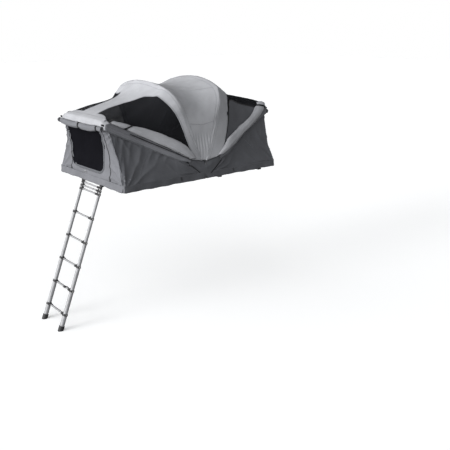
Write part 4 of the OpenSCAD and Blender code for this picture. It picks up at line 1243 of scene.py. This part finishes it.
def valley_shape(arch, bow, flip, side):
    foot = in_plane(arch_line(arch, OVER_ARCH, np.array([0.0])) * (-side, 1), 90 - ARCH_TILT)[0]
    knee = bow_skin((leg_point(bow, CANOPY_KNEE) * (side, 1))[None], 1)[0]
    wall_knee = bow_skin((leg_point(bow, KNEE_AT) * (side, 1))[None], -1)[0]
    low = np.array([0, side * (SKIN_Y + 3), 10])
    top = np.array([0, foot[1], foot[2] + 4])

    def shape(u, v):
        t = u[:, None]
        high = np.where(t < 0.2, mix(top, foot, t / 0.2), mix(foot, knee + (30, 0, 16), (t - 0.2) / 0.8))
        base = mix(low, wall_knee, 0.85 * t)
        base[:, 2] = np.maximum(base[:, 2] - 30, 2)
        p = mix(base, high, v[:, None])
        p[:, 1] = mix(base[:, 1], high[:, 1], smooth((v - 0.6) / 0.4)) + side * 6
        p[:, 0] *= flip
        return p
    return shape


def valley_wrinkle(co):
    return 0.004 * folds(co * (1, 1, 0.4), 12, 14) + 0.002 * folds(co, 22, 15)


def valley(hand, side, word):
    hoops, shape = BETWEEN[hand], valley_shape(*HANDS[hand], side)
    obj = cloth_sheet(f"valley_{hand}_{word}", 40, 24, shape, (0.35, 0.28), valley_wrinkle)
    dress(obj, DARK_CLOTH, "dark_cloth")
    fan(obj, *hoops)
    lines = [tape(shape, valley_wrinkle, [(0.0, v), (1.0, v)], width) for v, width in VALLEY_SEAMS]
    seam = fan(trim(obj.name + "_seam", lines, ZIP, "webbing"), *hoops)
    cut_sheet(obj, (0.33, 0.25), 0.5, "stretched", list(hoops), [seam])
    return obj


valleys = [valley(hand, side, word) for side, word in FLANKS for hand in HANDS]
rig.replaces(valleys[0], "valley_walls")
tell(valleys)

# %% [markdown]
# A sleeve of the light cloth wraps each bow: up one leg, along the roof's end edge
# and down the other leg. It starts on the canopy, goes over the tube and laps the
# top of the wall. A zip that closes the window's flap runs along its inner edge. The
# faces that look sideways take the paler copy of the dark cloth, as painted shade on
# the sides of the bow.

# %% Sleeves on the bows
SLEEVE_AT = np.array([0, 0.4, 0.62, 0.76, 1])
SLEEVE_ZIPS, SLEEVE_FROM = ((0.01, 0.22), (0.78, 0.99)), 0.93
UPWARDS = np.array([0, 0, 1.0])


def sleeve_shape(arch, bow, flip):
    """Five lines along the bow, and the cloth between them from the canopy over the tube to the wall."""
    canopy = side_surface(arch, bow, 1)
    tilt = math.radians(BOW_TILT)
    up = np.array([-math.sin(tilt), 0, math.cos(tilt)])

    def shape(u, v):
        rows = u * LAST_ROW
        p = bow_line(bow, rows)
        d = bow_line(bow, np.minimum(rows + 0.2, LAST_ROW)) - bow_line(bow, np.maximum(rows - 0.2, 0))
        n = np.stack([-d[:, 1], d[:, 0]], -1) / np.linalg.norm(d, axis=1)[:, None]
        n *= np.sign(np.sum(n * (p - (0, 700)), 1))[:, None]
        out = np.stack([n[:, 1] * math.cos(tilt), n[:, 0], n[:, 1] * math.sin(tilt)], -1)
        inner = canopy(rows, SLEEVE_FROM) + 4 * up
        rise = end_lift(rows, bow)[:, None] * UPWARDS
        top = bow_skin(p, 1) + 4 * up + 2 * out + rise
        mid = bow_skin(p, 0) + 13 * out + 0.7 * rise
        low = bow_skin(p, -1) + 8 * out
        drop = 8 + 38 * smooth(from_foot(rows) / 2)
        knots = np.stack([inner, top, mid, low, low + 6 * out - drop[:, None] * UPWARDS])
        k = np.clip(np.searchsorted(SLEEVE_AT, v, "right") - 1, 0, 3)
        t = ((v - SLEEVE_AT[k]) / (SLEEVE_AT[k + 1] - SLEEVE_AT[k]))[:, None]
        each = np.arange(len(u))
        return mix(knots[k, each], knots[k + 1, each], t) * (flip, 1, 1)
    return shape


def sleeve_wrinkle(co):
    return 0.0025 * folds(co, 9, 17)


def sleeve(hand):
    body, name = f"{hand}_bow", f"bow_sleeve_{hand}"
    shape = sleeve_shape(*HANDS[hand])
    obj = dress(cloth_sheet(name, 280, 20, shape, (3.5, 0.2), sleeve_wrinkle), LIGHT_CLOTH, "light_cloth")
    # Sideways faces take the darker painted cloth: painted shade on the sides of the bow
    obj.data.materials.append(PAINTED_LIGHT_SHADE_CLOTH)
    for f in obj.data.polygons:
        f.material_index = int(abs(f.normal.y) > 0.6)
    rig.ride(obj, body)
    zips = [tape(shape, sleeve_wrinkle, [(a, 0.3), (b, 0.3)], 12, 2.0) for a, b in SLEEVE_ZIPS]
    zips = trim(name + "_zips", zips, ZIP, "webbing")
    hem = [tape(shape, sleeve_wrinkle, [(0.01, 0.96), (0.99, 0.96)], 9)]
    hem = trim(name + "_hem", hem, DARK_TAPE, "dark_cloth")
    for piece in (zips, hem):
        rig.ride(piece, body)
    cut_sheet(obj, (3.7, 0.125), 1.0, "stretched", [body], [zips, hem])
    return obj


tell([sleeve(hand) for hand in HANDS])

# %% [markdown]
# The window flaps are rolled up and tied along the windows' lower edges, and the
# door flaps under the roof's end edges. Each is a real roll: one long sheet wound a
# few turns, thickest at its middle, with long creases and the last turn's edge
# showing. A strap draws it in at each tie.

# %% Shape of a roll
FLAP_TURNS, DOOR_TURNS, DOOR_CUT = 2.6, 3.9, ((1.25, 0.6), 1.0)
FLAP_TOP = {
    -1: np.array([(0.3, 0.4), (2.2, 0.4), (3.3, 0.5), (4.6, 0.6), (6.2, 0.67), (8, 0.71), (10, 0.79),
                  (12, 0.86)]),
    1: np.array([(0.3, 0.7), (2, 0.68), (3.3, 0.66), (4.2, 0.74), (5.3, 0.8), (7, 0.84), (8.6, 0.85),
                 (10, 0.83), (11, 0.8), (12, 0.82)])}
FLAP_TIES, DOOR_TIES = {-1: (0.79, 0.985), 1: (0.95,)}, (0.04, 0.5, 0.9)
TIE_DRAW, STRAP_W, FLAP_LONG = 0.22, 26.0, 1150
PRESS_AT, PRESS_KEEP = 22.0, 0.15


def drawn_in(u, ties):
    return 1 - TIE_DRAW * sum(np.exp(-((u - t) / 0.035) ** 2) for t in ties)


def wound(line, u, size, angle):
    """Points round a line at an angle. line(u) gives the centre and two half axes across it."""
    c, a, b = line(u)
    return c + (size * np.cos(angle))[:, None] * a + (size * np.sin(angle))[:, None] * b


def roll_shape(line, ties, seed, turns):
    """A sheet wound round a line."""
    def shape(u, v):
        angle = 2 * math.pi * turns * v + 0.6 + 0.4 * np.sin(u * 4 + seed)
        layer = 1 - 2 * np.abs(np.sin(2.5 * angle + 3 * np.sin(2.2 * u + seed))) ** 0.6
        crease = 0.055 * layer + 0.03 * np.sin(7 * angle - 9 * u + seed)
        return wound(line, u, mix(0.42, 1.0, v) * (1 + crease) * drawn_in(u, ties), angle)
    return shape


def facing_out(obj, line):
    """Turns a wound sheet so that its last turn faces outwards."""
    mesh = obj.data
    mid = to_row(line(np.array([0.5]))[0])[0]
    near = [f for f in mesh.polygons if np.linalg.norm(np.array(f.center) - mid) < 0.25]
    outer = max(near, key=lambda f: abs(f.center.z - mid[2]))
    if outer.normal.dot(outer.center - Vector(mid)) < 0:
        mesh.flip_normals()
    return obj


print("a flap is wound", FLAP_TURNS, "turns and a door", DOOR_TURNS)

# %% [markdown]
# A window's roll lies on the lower edge of the window, and a door's roll hangs under
# the roof's end edge and sags between its ties. Both are pressed flat against the
# bow as the tent closes.

# %% Rolled flaps
FLAP_THIN, FLAP_MORE, FLAP_LOW, FLAP_HANG = 18, 20, {-1: 0.95, 1: 1.0}, np.array([0, -30.0, -38.0])
DOOR_TALL, DOOR_DEEP, DOOR_SAG, TIE_SAG = 43, 32, 15, 10


def flap_line(arch, bow, flip, side):
    """Centre and half axes of a flap's roll, between a line on the window and its lower edge."""
    canopy = side_surface(arch, bow, 1)
    table = FLAP_TOP[flip].T
    turn = np.array([flip, -side, 1])

    def line(u):
        rows = mix(0.3, 11.9, u)
        high = canopy(rows, np.interp(rows, *table))
        low = canopy(rows, FLAP_LOW[flip])
        if flip > 0:
            low = low + np.sin(np.pi * u)[:, None] ** 0.5 * FLAP_HANG
        along = canopy(rows + 0.2, 0.9) - canopy(rows - 0.2, 0.9)
        up = (high - low) / 2
        n = unit(np.cross(up, along))
        n *= np.sign(n[:, 2])[:, None]
        deep = FLAP_THIN + FLAP_MORE * np.sin(np.pi * np.clip(u, 0.02, 0.98 if flip < 0 else 0.75)) ** 0.7
        centre = (high + low) / 2 + n * (deep * 0.75)[:, None]
        return centre * turn, n * deep[:, None] * turn, up * turn
    return line


def strap_round(line, at, ties, grow=1.06):
    """A strap closed round a roll, as a shape of its own."""
    def shape(u, v):
        s = np.full(len(u), at) + (v - 0.5) * STRAP_W / FLAP_LONG
        return wound(line, s, grow * drawn_in(s, ties) + 0.03, 2 * math.pi * u)
    return shape


def pressed_flat(obj, body):
    """A roll is pressed flat against its bow as the tent closes."""
    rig.ride(obj, body)
    flip = 1 if body == "right_bow" else -1
    a = math.radians(BOW_TILT)
    axis = np.array([-flip * math.sin(a), 0, math.cos(a)])
    at = in_plane(np.array([[0, 900.0]]), BOW_TILT)[0] * (flip, 1, 1) + PRESS_AT * axis
    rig.squash(obj, "fold", axis=tuple(axis), anchor=tuple(to_row(at)), keep=PRESS_KEEP)
    return obj


def straps(name, line, ties, body):
    bm = bmesh.new()
    for t in ties:
        shaped_grid(bm, 40, 3, strap_round(line, t, ties), (0.3, 0.026))
    return pressed_flat(dress(cloth_object(name, bm, 0.0015), WEBBING, "webbing"), body)


def rolled(name, line, ties, seed, cut, turns, body, cloth):
    obj = cloth_sheet(name, 130, int(37 * turns), roll_shape(line, ties, seed, turns), cut[0],
                      lambda co: 0.002 * folds(co, 11, seed))
    facing_out(obj, line)
    pressed_flat(dress(obj, cloth, "light_cloth"), body)
    cut_sheet(obj, *cut, "folded", [body], [straps(name + "_straps", line, ties, body)])
    return obj


def door_line(bow, flip):
    """Centre and half axes of a door's roll."""
    edge_y = leg_point(bow, EDGE_AT)[0]
    base = in_plane(np.array([[0, EDGE_AT]]), BOW_TILT)[0] + np.array([30, 0, -34])

    def line(u):
        c = np.repeat(base[None], len(u), 0)
        c[:, 1] = mix(edge_y + 45, -edge_y - 5, u)
        between = np.interp(u, [0, *DOOR_TIES, 1], [-0.1, 0, 1, 2, 2.2])
        c[:, 2] -= DOOR_SAG * np.sin(np.pi * u) + TIE_SAG * np.abs(np.sin(np.pi * between))
        f = 0.72 + 0.28 * np.sin(np.pi * np.clip(u, 0, 1)) ** 0.6
        tall, deep = np.outer(DOOR_TALL * f, (0, 0, 1)), np.outer(flip * DOOR_DEEP * f, (1, 0, 0))
        return c * (flip, 1, 1), tall, deep
    return line


rolls = []
for side, word in FLANKS:
    for hand, seed in (("left", 4), ("right", 7)):
        line, ties = flap_line(*HANDS[hand], side), FLAP_TIES[HANDS[hand][2]]
        rolls.append(rolled(f"flap_roll_{hand}_{word}", line, ties, seed + side, WINDOW_CUT, FLAP_TURNS,
                            f"{hand}_bow", ROLL_CLOTH))
# The door rolls take the walls' cloth in its paler painted copy, toned as painted shade under the roof's end edge
for hand, seed in (("left", 11), ("right", 12)):
    line = door_line(*HANDS[hand][1:])
    rolls.append(rolled(f"door_roll_{hand}", line, DOOR_TIES, seed, DOOR_CUT, DOOR_TURNS,
                        f"{hand}_bow", PAINTED_LIGHT_SHADE_CLOTH))
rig.replaces(rolls[0], "flaps_left")
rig.replaces(rolls[1], "flaps_right")
tell(rolls)

# %% [markdown]
# Small hard pieces go on the cloth: a pull at the foot of each zip, and a toggle at
# each place where the skirt is held down. Both are moulded tabs with rounded edges
# and a slot, made from a small grid with the slot's faces taken out.

# %% Pulls and toggles
def round_edges(bm, edges, offset, segments):
    bmesh.ops.bevel(bm, geom=edges, offset=offset, offset_type="OFFSET", affect="EDGES", segments=segments,
                    profile=0.5, material=-1)


def slotted_tab(bm, centre, across, along, thick, xs, ys, holes):
    """A flat tab in the plane of two directions, with grid lines at xs and ys and faces taken out."""
    cols, rows = len(xs) - 1, len(ys) - 1
    verts = bmesh.ops.create_grid(bm, x_segments=cols, y_segments=rows, size=0.5)["verts"]
    faces = {}
    for f in {f for v in verts for f in v.link_faces}:
        m = f.calc_center_median()
        faces[(int((m.x + 0.5) * cols), int((m.y + 0.5) * rows))] = f
    for v in verts:
        i, j = round((v.co.x + 0.5) * cols), round((v.co.y + 0.5) * rows)
        v.co = centre + across * xs[i] + along * ys[j]
    bmesh.ops.delete(bm, geom=[faces.pop(h) for h in holes], context="FACES")
    left = list(faces.values())
    bmesh.ops.recalc_face_normals(bm, faces=left)
    made = bmesh.ops.solidify(bm, geom=left, thickness=thick)["geom"]
    both = left + [f for f in made if isinstance(f, bmesh.types.BMFace)]
    edges = {e for f in both if f.is_valid for e in f.edges if len(e.link_faces) == 2}
    round_edges(bm, [e for e in edges if e.calc_face_angle(0) > 1], thick * 0.22, 2)


def hard_piece(name, bm, finish, slot, body):
    bmesh.ops.recalc_face_normals(bm, faces=bm.faces)
    obj = dress(new_object(name, bm, smoothed=False), finish, slot)
    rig.ride(obj, body)
    return obj


def mm(*values):
    return Vector(values) / 1000


PULL_X, PULL_Z = (-9, -4, 4, 9), (-26, -20, 6, 14, 20)
TOGGLE_X, TOGGLE_Z = (-10, -4, 4, 10), (-22, -14, -6, 8, 18, 24)
TOGGLE_AT = {"left": 0.085, "right": 0.1}


def pulls(hand):
    """A slotted pull hangs from the foot of each zip."""
    _, bow, flip = HANDS[hand]
    shape, wrinkle = wall_shape(bow, flip), wall_wrinkle(flip)
    bm = bmesh.new()
    for y, z in (NEAR_ZIP[-1], FAR_ZIP[-1]):
        (u, v), = on_end(shape, [(y, z + 6)])
        p = on_cloth(shape, wrinkle, np.array([u]), np.array([v]), 9.0)[0]
        slotted_tab(bm, Vector(to_row(p)[0]), mm(0, 1, 0), mm(0, 0, 1), 0.005, PULL_X, PULL_Z, [(1, 2)])
    return hard_piece(f"zip_pulls_{hand}", bm, FINISH["black_plastic"], "black_plastic", PANEL[hand])


def toggles(hand):
    """A toggle with two slots stands out from the skirt on each side of the tent."""
    shape = skirt_shape(HANDS[hand][2])
    bm = bmesh.new()
    for share in (TOGGLE_AT[hand], 1 - TOGGLE_AT[hand]):
        p = on_cloth(shape, None, np.array([share]), np.array([0.55]), 4.0)[0]
        slotted_tab(bm, Vector(to_row(p)[0]), mm(1, 0, 0.25), mm(-0.25, 0, 1), 0.006, TOGGLE_X, TOGGLE_Z,
                    [(1, 1), (1, 3)])
    return hard_piece(f"skirt_toggles_{hand}", bm, FINISH["black_plastic"], "black_plastic", PANEL[hand])


hard = [closes_flat(pulls(hand), PANEL[hand]) for hand in HANDS] + [toggles(hand) for hand in HANDS]
print([(h.name, len(h.data.polygons)) for h in hard])

# %% [markdown]
# A webbing strap is looped round the ladder's second rung to hold the sections
# together when it is put away. Its spare end is rolled up, and a moulded buckle with
# two slots closes it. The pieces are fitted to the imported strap's own place.

# %% Strap on the ladder
LEAN = math.radians(21.6)
X_AXIS = np.array([math.cos(LEAN), 0, -math.sin(LEAN)])
Z_AXIS = np.array([math.sin(LEAN), 0, math.cos(LEAN)])
solid = nodes["ladder_strap"]
strap_pts = np.array([solid.matrix_world @ v.co for v in solid.data.vertices])
RING_X, RING_Z, ROLL_AT = 17.8, 11.8, 28.3
ring_mid = np.array([(strap_pts @ X_AXIS).min() * 1000 + 19.3, strap_pts[:, 1].mean() * 1000,
                     ((strap_pts @ Z_AXIS).min() + (strap_pts @ Z_AXIS).max()) * 500])


def strap_path():
    """Side view of the strap: a rolled spare end, then a loop round the rung."""
    turn = np.linspace(0, 2.4 * 2 * math.pi, 90)
    r = mix(2, 8.4, turn / turn[-1])
    roll = np.stack([ROLL_AT + r * np.cos(turn + 2.6), r * np.sin(turn + 2.6)], -1)
    a = np.linspace(0.1, 2 * math.pi - 0.1, 90)
    round_box = (np.abs(np.cos(a)) ** 4 + np.abs(np.sin(a)) ** 4) ** -0.25
    loop = np.stack([RING_X * round_box * np.cos(a), -RING_Z * round_box * np.sin(a)], -1)
    return filled(np.concatenate([roll, loop]), 0.8)


def strap_shape(u, v):
    path = strap_path()
    x, z = at_index(path, u * (len(path) - 1)).T
    p = (ring_mid[0] + x)[:, None] * X_AXIS + (ring_mid[2] + z)[:, None] * Z_AXIS
    p[:, 1] = ring_mid[1] + (v - 0.5) * 46
    return p - np.array([HINGE_X, 0, RAIL_H])


strap = cloth_sheet("ladder_strap_webbing", 240, 4, strap_shape, (0.28, 0.046))
dress(strap, WEBBING, "webbing")
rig.replaces(strap, "ladder_strap")
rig.ride(strap, "ladder_2")
bm = bmesh.new()
buckle_at = ((ring_mid[0] - RING_X - 1.5) * X_AXIS + ring_mid[2] * Z_AXIS + (0, ring_mid[1], 0)) / 1000
slotted_tab(bm, Vector(buckle_at), mm(0, 1, 0), Vector(Z_AXIS) / 1000, 0.004, (-28, -24, 24, 28),
            (-11, -7, -3, 3, 7, 11), [(1, 1), (1, 3)])
buckle = hard_piece("ladder_strap_buckle", bm, FINISH["black_plastic"], "black_plastic", "ladder_2")
cut_sheet(strap, (0.21, 0.046), 1.0, "folded", ["ladder_section_2"], [buckle])

# %% [markdown]
# Each collar of the ladder has a pale button on its outer face that shows whether
# its latch is home. It is a shallow turned cap.

# %% Buttons on the collars
BUTTON = metal("pale_button_skin", (0.62, 0.6, 0.58), 0.5, 0.0, (200, 200, 200), 0.1)
CAP_LINE = ((0, 3), (5.5, 2.7), (6.8, 1.6), (7, -3))


def buttons(k):
    low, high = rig.box(f"ladder_collars_{k}")
    bm = bmesh.new()
    for y, s in ((low.y, -1), (high.y, 1)):
        at = Vector(((low.x + high.x) / 2, y + s * 0.0005, (low.z + high.z) / 2))
        rim = [at + mm(r, 0, 0) + mm(0, s * h, 0) for r, h in CAP_LINE]
        made = [bm.verts.new(p) for p in rim]
        made += [bm.edges.new(e) for e in zip(made, made[1:])]
        bmesh.ops.spin(bm, geom=made, cent=at, axis=(0, 1, 0), angle=2 * math.pi, steps=20, use_merge=True)
    bmesh.ops.remove_doubles(bm, verts=bm.verts, dist=1e-6)
    return hard_piece(f"ladder_buttons_{k}", bm, BUTTON, "ladder_plastic", f"ladder_{k}")


caps = [buttons(k) for k in range(1, 8)]
print(len(caps), "pairs of buttons")

# %% [markdown]
# The mattress halves are foam slabs in sewn covers. A slab is a rounded box with
# crowned faces, and it fills the space of its solid.

# %% Mattress halves
PAD_IN, PAD_CORNER, PAD_EDGE = 0.002, 0.058, 0.012


def mattress(node, body):
    low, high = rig.box(node)
    bm = bmesh.new()
    bmesh.ops.create_cube(bm, size=1.0)
    for v in bm.verts:
        v.co = Vector([mix(low[k] + PAD_IN, high[k] - PAD_IN, v.co[k] + 0.5) for k in range(3)])
    upright = [e for e in bm.edges if abs(e.verts[0].co.z - e.verts[1].co.z) > 0.01]
    round_edges(bm, upright, PAD_CORNER, 6)
    rims = [e for e in bm.edges if abs(e.verts[0].co.z - e.verts[1].co.z) < 1e-5]
    round_edges(bm, rims, PAD_EDGE, 4)
    obj = dress(new_object(node + "_pad", bm), FOAM, "foam")
    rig.replaces(obj, node)
    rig.ride(obj, body)
    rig.padded(obj, fill=0.9)
    return obj


pads = [mattress("mattress_fixed", "base"), mattress("mattress_fold", "fold")]
print([p.name for p in pads])

# %% [markdown]
# The picture is a plain studio: a white floor, a wide soft light from the left and
# a pale dome above. The floor looks white to the camera and keeps the shadow, and
# is darker to other rays, so that it throws little light up at the walls.

# %% Floor
GROUND = cad_box[0][2] - 0.0005
bm = bmesh.new()
bmesh.ops.create_grid(bm, x_segments=1, y_segments=1, size=60)
for v in bm.verts:
    v.co.z = GROUND
floor = new_object("floor", bm, smoothed=False)
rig.stage(floor)
pale, tree, shader = new_finish("pale_floor")
eye = add(tree, "LightPath").outputs["Is Camera Ray"]
feed(tree, shader, Base_Color=blended(tree, eye, (0.25, 0.25, 0.25, 1), (0.9, 0.9, 0.9, 1)), Roughness=1.0,
     Emission_Color=(1, 1, 1, 1), Emission_Strength=sums(tree, "MULTIPLY", eye, 0.3), Specular_IOR_Level=0.0)
floor.data.materials.append(pale)
print("floor at", round(GROUND, 4))

# %% [markdown]
# The dome's strength grows upwards, to the left and to the front. Camera, glossy and
# transmission rays see plain white instead.

# %% Light
SUN_POWER, SUN_SPREAD, SUN_RISE = 2.9, 28, 0.21
FROM_ABOVE, FROM_LEFT, FROM_FRONT = 0.1, -2.2, -0.5
sun = bpy.data.lights.new("key", "SUN")
sun.energy, sun.angle = SUN_POWER, math.radians(SUN_SPREAD)
key = bpy.data.objects.new("key", sun)
toward_sun = Vector((-math.cos(SUN_RISE), 0.1, math.sin(SUN_RISE)))
key.rotation_euler = toward_sun.to_track_quat("Z", "Y").to_euler()
bpy.context.scene.collection.objects.link(key)

world = bpy.data.worlds.new("studio")
bpy.context.scene.world = world
world.use_nodes = True
wt = world.node_tree
axes = add(wt, "SeparateXYZ", add(wt, "TexCoord").outputs["Generated"]).outputs
above = sums(wt, "MAXIMUM", axes["Z"], 0.0)
leftward, toward = (sums(wt, "MINIMUM", axes[name], 0.0) for name in "XY")
sides = sums(wt, "MULTIPLY_ADD", toward, FROM_FRONT, sums(wt, "MULTIPLY", leftward, FROM_LEFT))
dome = sums(wt, "MULTIPLY_ADD", above, FROM_ABOVE, sides)
sky = feed(wt, wt.nodes["Background"], Color=(0.97, 0.985, 1.0, 1), Strength=dome)
white = add(wt, "Background", Color=(1, 1, 1, 1))
ray = add(wt, "LightPath").outputs
seen = sums(wt, "MAXIMUM", ray["Is Camera Ray"], ray["Is Glossy Ray"])
seen = sums(wt, "MAXIMUM", seen, ray["Is Transmission Ray"])
shown = add(wt, "MixShader", seen, sky.outputs[0], white.outputs[0])
feed(wt, wt.nodes["World Output"], Surface=shown.outputs[0])
print("sun", SUN_POWER, "and a dome of", len(wt.nodes), "nodes")

# %% [markdown]
# The camera stands where the photograph was taken from, as solved from the base,
# the ladder and the arches.

# %% Camera
PHOTO_W, FOCAL, AZIMUTH, ELEVATION = 450, 628, -40.18, 17.5
cam = bpy.data.cameras.new("photo_view")
cam.sensor_width, cam.lens = 36.0, 36.0 * FOCAL / PHOTO_W
camera = bpy.data.objects.new("photo_view", cam)
bpy.context.scene.collection.objects.link(camera)
az, el = math.radians(AZIMUTH), math.radians(ELEVATION)
camera.location = (-5.4555, -6.917, 1.862)
back = Vector((math.sin(az) * math.cos(el), -math.cos(az) * math.cos(el), math.sin(el)))
camera.rotation_euler = back.to_track_quat("Z", "Y").to_euler()
bpy.context.scene.camera = camera
bpy.context.scene.view_settings.view_transform = "Standard"
print("camera", tuple(camera.location), "lens", round(cam.lens, 1))

# %% Sizes and finish
new_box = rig.bounds()
with open("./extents.json", "w") as f:
    json.dump({"cad": [list(p) for p in cad_box], "visual": [list(p) for p in new_box]}, f)
print("visual box", new_box)
